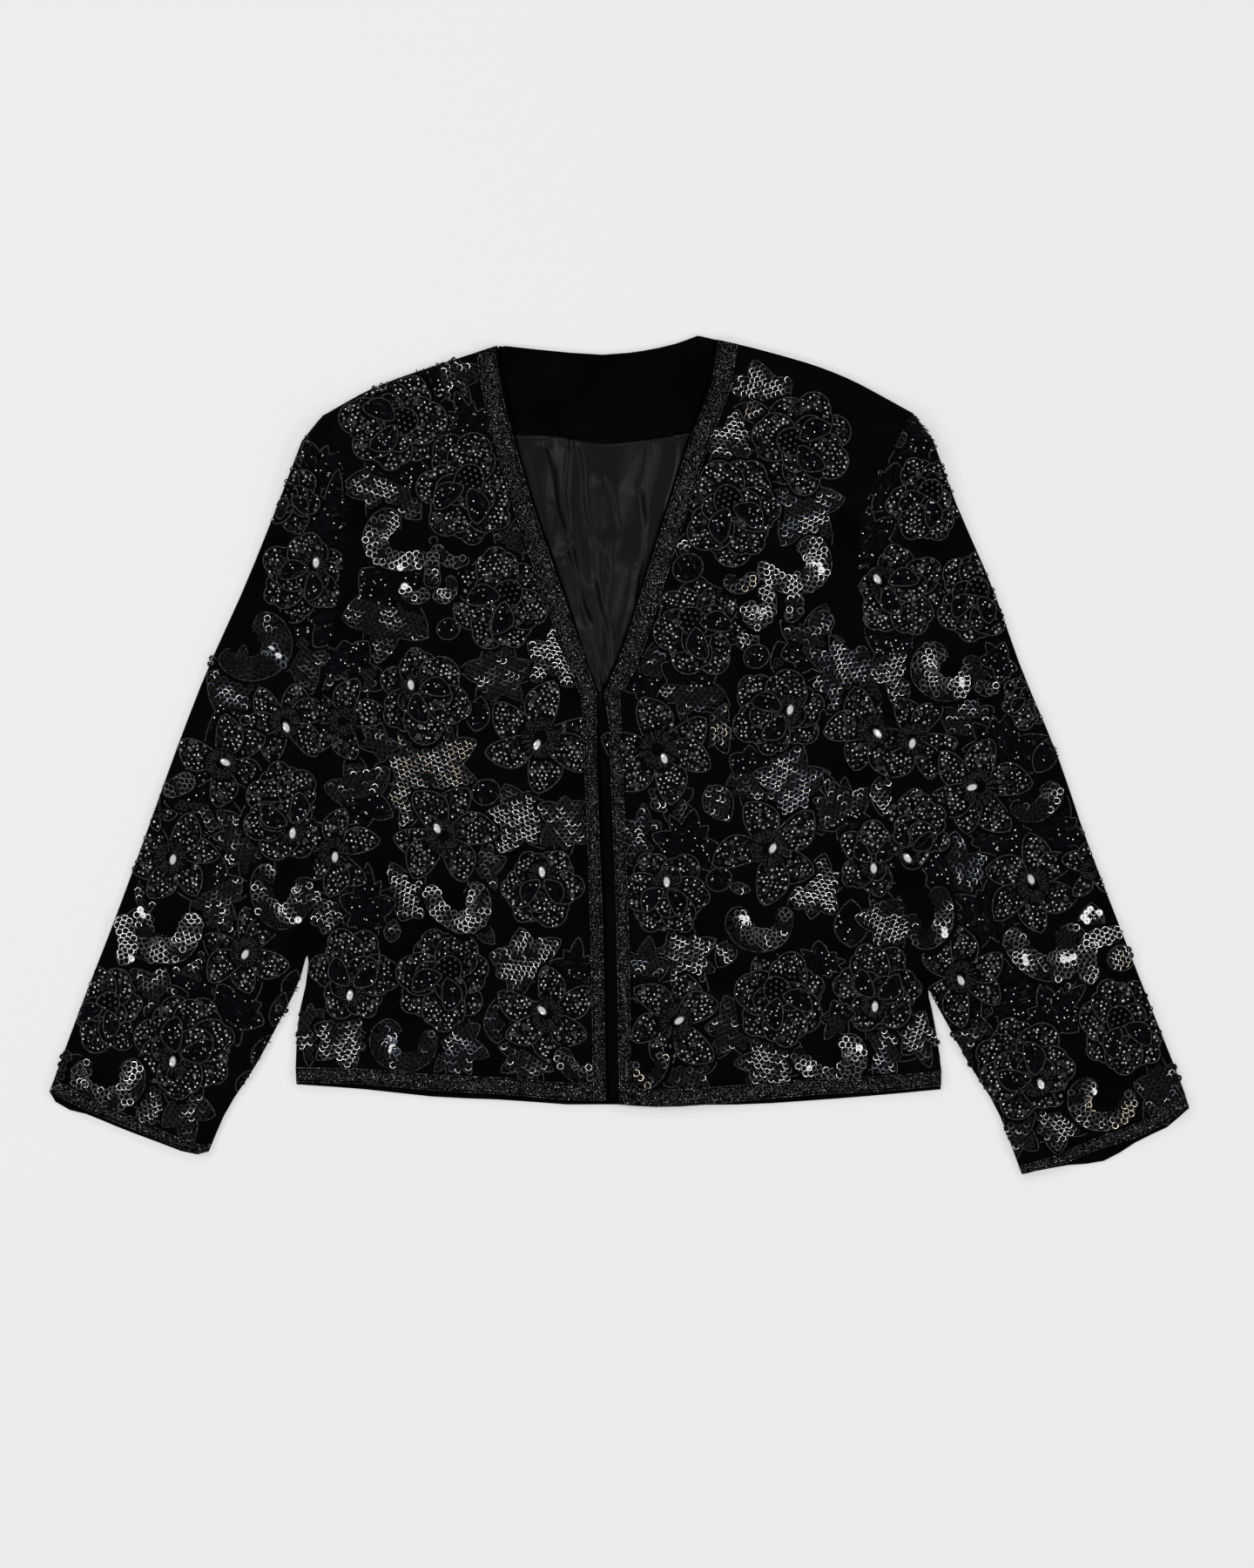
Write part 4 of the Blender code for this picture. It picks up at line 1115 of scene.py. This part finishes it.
    def peony(self, x, y, width, height, turn, stone):
        """A full flower: round outer petals, some inner ones, two ribbed ones and its heart."""
        turn = math.radians(turn)
        rng = self.rng
        size = (width + height) / 4
        petals = PEONY_PETALS[0] if size < SMALL_PEONY else PEONY_PETALS[1]
        around = []
        for k in rng.permutation(petals):
            angle = turn + 2 * math.pi * (k + rng.uniform(-PEONY["sway"], PEONY["sway"])) / petals
            reach = rng.uniform(*PEONY["reach"])
            px = x + reach * width / 2 * math.cos(angle)
            py = y + reach * height / 2 * math.sin(angle)
            spans = scaled(size, (rng.uniform(*PEONY["length"]), rng.uniform(*PEONY["width"])))
            out = round_lobe(px, py, *spans, angle, rng.choice(SCALLOPS), rng.uniform(*PEONY["notch"]))
            around.append((out, angle))
        self.petals(around)
        for k in range(2):
            angle = turn + math.pi * (k + rng.uniform(*PEONY["inner_sway"]))
            px = x + PEONY["inner_reach"] * width / 2 * math.cos(angle)
            py = y + PEONY["inner_reach"] * height / 2 * math.sin(angle)
            inner = round_lobe(px, py, *scaled(size, PEONY["inner"]), angle, depth=PEONY["inner_notch"])
            self.region(inner, GLINT, angle)
        if stone:
            near, far = PEONY["seat"]
            seat = (near * stone[0] + far * x, near * stone[1] + far * y)
            self.region(round_lobe(*seat, *scaled(size, PEONY["stone_heart"]), turn), RAYS, turn,
                        line=(seat, STONE_GAP, size * PEONY["rays"]), edge=False)
        else:
            seat = beside(x, y, PEONY["open_reach"] * size, turn)
            self.region(round_lobe(*seat, *scaled(size, PEONY["open_heart"]), turn), OPEN, turn)
        away = math.atan2(y - seat[1], x - seat[0])
        for way in (-1, 1):
            angle = away + way * PEONY["ribbed_turn"]
            foot = beside(*seat, PEONY["ribbed_reach"] * size, angle)
            out = pointed_petal(*foot, *scaled(size, PEONY["ribbed"]), angle, way)
            self.region(out, BUGLE, angle + math.pi / 2)
        if stone:
            self.stone(*stone)

    def star(self, x, y, radius, turn, petals, stone):
        """A flower of pointed petals round rows of beads and a black gap with a stone beside it."""
        turn = math.radians(turn)
        rng = self.rng
        foot = radius * STAR["foot"]
        around = []
        for k in rng.permutation(petals):
            angle = turn + 2 * math.pi * (k + rng.uniform(-STAR["sway"], STAR["sway"])) / petals
            length = radius * rng.uniform(*STAR["length"])
            out = pointed_petal(*beside(x, y, foot, angle), length, radius * rng.uniform(*STAR["width"]),
                                angle, rng.choice((-1, 1)))
            around.append((out, angle))
        self.petals(around)
        self.region(round_lobe(x, y, *scaled(radius, STAR["heart"]), turn), RAYS, turn,
                    line=((x, y), *scaled(radius, STAR["rays"])), edge=False)
        if stone:
            self.stone(*stone)

    def draw(self):
        for x, y, length, width, turn, tips, fill, bright, tint in LEAVES[self.panel]:
            out = leaf_outline(x, y, length, width, turn, tips, fill == BUGLE, self.rng)
            self.clear([out])
            self.region(out, fill, math.radians(turn), bright, tint)
        for row in STARS[self.panel]:
            self.star(*row)
        for row in PEONIES[self.panel]:
            self.peony(*row)
        for x, y, radius, fill, bright, tint in DISCS[self.panel]:
            out = round_lobe(x, y, radius, radius * DISC_WIDTH, DISC_TURN)
            self.region(out, fill, DISC_TURN, bright, tint)
        self.clear(scroll_outline(curve_through(row[-1]), row[0] * SCROLL_GROWTH + CHANNEL,
                                  row[1] * SCROLL_GROWTH + CHANNEL) for row in SCROLLS[self.panel])
        for start, end, bright, tint, places in SCROLLS[self.panel]:
            line = curve_through(places)
            start, end = start * SCROLL_GROWTH, end * SCROLL_GROWTH
            self.region(scroll_outline(line, start, end), SCROLL, 0.0, bright, tint, line=(line, start, end))

    def fill_spare(self):
        """Small leaves in the free places between the motifs, the largest first."""
        lowest, highest = SPARE[self.panel]
        x, y = np.meshgrid(np.arange(self.low[0], -self.low[0], SPARE_STEP),
                           np.arange(lowest, highest, SPARE_STEP))
        x, y = x.ravel(), y.ravel()
        angle = np.radians(np.arange(0, 360, 30))
        ring = np.stack([np.cos(angle), np.sin(angle)])
        for half in SPARE_SIZES:
            around = np.hstack([np.zeros((2, 1)), SPARE_ROOM * half * ring, half * ring])
            free = np.flatnonzero(self.owned(-1, x, y, reach=SPARE_ROOM * half))
            for spot in self.rng.permutation(free):
                px, py = x[spot], y[spot]
                if self.owned(-1, px + around[0], py + around[1]).all():
                    fill = self.rng.choice((BUGLE, SCALE, MIXED, GLINT))
                    turn = self.rng.uniform(*SPARE_TURN)
                    out = leaf_outline(px, py, SPARE_LENGTH * half, SPARE_WIDTH * half, turn, 3, False,
                                       self.rng)
                    self.region(out, fill, math.radians(turn), self.rng.uniform(*SPARE_BRIGHT), "grey")

    def fill(self):
        fills = {GLINT: self.fill_glint, SCALE: self.fill_scale, SCROLL: self.fill_scroll,
                 BUGLE: self.fill_bugle, MIXED: self.fill_mixed, OPEN: self.fill_open, RAYS: self.fill_rays}
        for number, region in enumerate(self.regions):
            if region["edge"]:
                self.string(number)
            fills[region["fill"]](number)


def ring(count, radius, z):
    angle = 2 * math.pi * np.arange(count) / count
    return [(radius * math.cos(a), radius * math.sin(a), z) for a in angle]


def side_faces(count, lower):
    """Faces between a ring of points that starts at lower and the next ring."""
    upper = lower + count
    return [(lower + k, lower + (k + 1) % count, upper + (k + 1) % count, upper + k) for k in range(count)]


def disc(count, middle, rim):
    """A round shape of triangles from its middle to its rim, at their heights."""
    return [(0, 0, middle)] + ring(count, 1.0, rim), [(0, 1 + k, 1 + (k + 1) % count) for k in range(count)]


def small_shapes():
    """The shapes that are copied: points, faces and whether it is smooth. A disc's radius is 1."""
    rings = [ring(CUP_SIDES, radius, z) for radius, z in CUP_RINGS]
    cup = (sum(rings, []), side_faces(CUP_SIDES, 0) + side_faces(CUP_SIDES, CUP_SIDES)
           + side_faces(CUP_SIDES, 2 * CUP_SIDES))
    half, width = BUGLE_LENGTH / 2, BUGLE_PITCH * BUGLE_HALF
    bugle = ([(-half, -width, 0), (half, -width, 0), (half, 0, width), (-half, 0, width), (-half, width, 0),
              (half, width, 0)],
             [(0, 1, 2, 3), (3, 2, 5, 4), (1, 5, 2), (0, 3, 4)])
    length, breadth, rise = STONE
    rings = [[(length * x, breadth * y, z) for x, y, z in ring(STONE_SIDES, radius, share * rise)]
             for radius, share in STONE_RINGS]
    stone = (sum(rings, []), side_faces(STONE_SIDES, 0) + side_faces(STONE_SIDES, STONE_SIDES)
             + [tuple(range(2 * STONE_SIDES, 3 * STONE_SIDES))])
    return {"bead": (*disc(*BEAD_DISC), True), "sequin": (*disc(*SEQUIN_DISC), False),
            "cup": (*cup, True), "scale": (*cup, True), "bugle": (*bugle, False), "stone": (*stone, False)}


def face_slots(kind, materials, faces):
    """Each face's slot, with painted light: a cup's inside is painted shade, a scale's far sides are painted
    shade, and a stone's sloping crown gets silver as painted shade on its sides.
    """
    each = np.repeat(materials, faces)
    face = np.arange(len(each)) % faces
    takes_painted_shade = each != SLOTS.index("white")
    # A scale keeps its material on the sides ahead and gets dark slate as painted shade on the others, so it
    # looks lit on one side
    if kind == "scale":
        side = face % CUP_SIDES
        each[takes_painted_shade & (side >= PAINTED_LIT_SIDES) & (side < CUP_SIDES - PAINTED_LIT_SIDES)] = SLOTS.index("slate")
    # Inside a cup that is not painted whole white, the ink is painted shade in its hollow
    if kind in ("cup", "scale"):
        each[takes_painted_shade & (face < CUP_SIDES)] = SLOTS.index("ink")
    # A stone's crown gets silver as painted shade on the sides of the one glass; its top stays crystal
    if kind == "stone":
        each[face < STONE_SIDES] = SLOTS.index("silver")
    return each


def unit(vectors):
    return vectors / np.linalg.norm(vectors, axis=1)[:, None]


def placed_points(cloth, points, rows):
    """The corners of all copies of a shape, each standing on the cloth at its place."""
    x, y, turn, tilt, toward, size, lift = rows.T
    height, slope_x, slope_y = cloth.surface(x, y)
    up = unit(np.stack([-slope_x, -slope_y, np.ones(len(x))], axis=1))
    lean = up * np.cos(tilt)[:, None]
    lean[:, 0] += np.sin(tilt) * np.cos(toward)
    lean[:, 1] += np.sin(tilt) * np.sin(toward)
    lean = unit(lean)
    aside = unit(np.cross(lean, np.stack([np.cos(turn), np.sin(turn), np.zeros(len(x))], axis=1)))
    ahead = np.cross(aside, lean)
    base = np.stack([x, y, height], axis=1) + up * lift[:, None]
    local = points[None, :, :] * size[:, None, None]
    world = (base[:, None, :] + local[..., :1] * ahead[:, None, :] + local[..., 1:2] * aside[:, None, :]
             + local[..., 2:] * lean[:, None, :]) * MM
    world[..., 2] = np.maximum(world[..., 2], 0.0)
    return world


def placed_mesh(name, kind, cloth, rows, materials):
    """One mesh of many copies of a small shape."""
    points, faces, smooth = small_shapes()[kind]
    world = placed_points(cloth, np.array(points, float), rows)
    count = len(rows)
    corners = np.concatenate([np.array(face) for face in faces])
    all_corners = (np.arange(count)[:, None] * len(points) + corners[None, :]).ravel()
    totals = np.tile([len(face) for face in faces], count)
    mesh = bpy.data.meshes.new(name)
    mesh.vertices.add(count * len(points))
    mesh.vertices.foreach_set("co", world.ravel().astype(np.float32))
    mesh.loops.add(len(all_corners))
    mesh.loops.foreach_set("vertex_index", all_corners.astype(np.int32))
    mesh.polygons.add(len(totals))
    mesh.polygons.foreach_set("loop_start", np.concatenate([[0], np.cumsum(totals)[:-1]]).astype(np.int32))
    each = face_slots(kind, materials, len(faces))
    used = sorted(set(each.tolist()))
    for slot in used:
        mesh.materials.append(MATERIALS[SLOTS[slot]])
    mesh.polygons.foreach_set("material_index", np.searchsorted(used, each).astype(np.int32))
    mesh.polygons.foreach_set("use_smooth", np.full(len(totals), smooth))
    mesh.update(calc_edges=True)
    mesh.validate()
    return mesh


def add_pieces(label, cloth, sown):
    made = []
    for kind, batches in sown.items():
        if not batches:
            continue
        rows = np.vstack([batch[0] for batch in batches])
        materials = np.concatenate([batch[1] for batch in batches])
        name = f"{label}_{kind}s"
        obj = add(name, placed_mesh(name, kind, cloth, rows, materials))
        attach(obj, "root")
        made.append(obj)
    return made


def edge_strings(piece):
    """Places of beads along the edges of a band's upper side, just inside them."""
    shape = welded(piece.data)
    places = []
    for edge in shape.edges:
        upper = [face for face in edge.link_faces if face.normal.z > BAND_UPPER]
        if len(upper) != 1 or len(edge.link_faces) < 2:
            continue
        a, b = (np.array(v.co.xy) / MM for v in edge.verts)
        inward = np.array(upper[0].calc_center_median().xy) / MM - (a + b) / 2
        way = (b - a) / max(np.hypot(*(b - a)), 1e-6)
        inward -= way * inward.dot(way)
        inward /= max(np.hypot(*inward), 1e-6)
        steps = max(round(np.hypot(*(b - a)) / OUTLINE_PITCH), 1)
        places += [a + (b - a) * (k + 0.5) / steps + inward * BAND_INSET for k in range(steps)]
    shape.free()
    return np.array(places)


def band_beads(name, cloth):
    """Seed beads packed over a band: straight strings along its edges and loose rows between."""
    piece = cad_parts[name]
    corners = np.array([v.co for v in piece.data.vertices]) / MM
    low, high = corners.min(axis=0), corners.max(axis=0)
    rng = np.random.default_rng(BAND_SEED + len(name))
    strung = edge_strings(piece)
    x, y = np.meshgrid(np.arange(low[0], high[0], BAND_PITCH),
                       np.arange(low[1], high[1], BAND_PITCH * ROW_SHARE), indexing="ij")
    x = x + 0.5 * BAND_PITCH * (np.arange(x.shape[1])[None, :] % 2)
    x, y = x.ravel(), y.ravel()
    x, y = x + rng.normal(0, BAND_UNEVEN, len(x)), y + rng.normal(0, BAND_UNEVEN, len(y))
    near = tree_of([(*place, 0) for place in strung])
    keep = cloth.is_on(name, x, y)
    keep[keep] = [near.find((u, v, 0))[2] > STRING_ROOM for u, v in zip(x[keep], y[keep])]
    x, y = np.concatenate([x[keep], strung[:, 0]]), np.concatenate([y[keep], strung[:, 1]])
    count = len(x)
    materials = pick(rng, MIXES["band"], count)
    rows = np.stack([x, y, rng.uniform(0, math.pi, count), np.abs(rng.normal(0, BAND_TILT, count)),
                     rng.uniform(0, 2 * math.pi, count), BAND_BEAD * rng.uniform(*SIZES["band"], count),
                     np.full(count, LIFTS["band"])], axis=1)
    return add_pieces(name, cloth, {"bead": [(rows, materials)]})


def add_lining():
    """The satin lining, with fine creases laid over the soft folds of its solid."""
    piece = shell("back_lining", 3, SATIN, 0.0)
    points = np.array([v.co for v in piece.data.vertices])
    x, y = points[:, 0] / MM, points[:, 1] / MM
    upper = points[:, 2] > np.median(points[:, 2]) - LINING_DEPTH
    facing_up = np.array([v.normal.z for v in piece.data.vertices]) > LINING_UPPER
    points[:, 2] += np.where(upper & facing_up, creased(x, y, CREASES, CREASE_STEEP), 0) * MM
    piece.data.vertices.foreach_set("co", points.ravel())
    piece.data.update()
    return piece


add_camera()
add_light()
add_floor()

cloths = {}
for side in SIDES:
    cloths[f"front_{side}"] = shell(f"front_{side}", 2, VELVET, 1.0)
    cloths[f"sleeve_{side}"] = shell(f"sleeve_{side}", 2, VELVET, 1.0)
    sew(cloths[f"front_{side}"], cloths[f"sleeve_{side}"])
cloths["back"] = shell("back", 1, VELVET, 0.0)
cloths["back_neck_facing"] = shell("back_neck_facing", 2, VELVET, 0.0)
cloths["back_lining"] = add_lining()

bands = [f"{kind}_band_{side}" for kind in ("neck", "hem", "cuff") for side in SIDES]
for name in bands:
    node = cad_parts[name]
    node.data.materials.clear()
    node.data.materials.append(VELVET)

cloth_map = ClothMap([*cloths.items(), *((name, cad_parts[name]) for name in bands)])
sewn_on = {node: [] for node in cloths}
for seed, panel in enumerate(LEAVES, FIRST_SEED):
    embroidery = Embroidery(panel, cloth_map, seed)
    embroidery.draw()
    embroidery.fill_spare()
    embroidery.fill()
    sewn_on[panel] += add_pieces(panel, cloth_map, embroidery.sown)
for name in bands:
    kind, _, side = name.split("_")
    panel = f"sleeve_{side}" if kind == "cuff" else f"front_{side}"
    sewn_on[panel] += [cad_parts[name], *band_beads(name, cloth_map)]
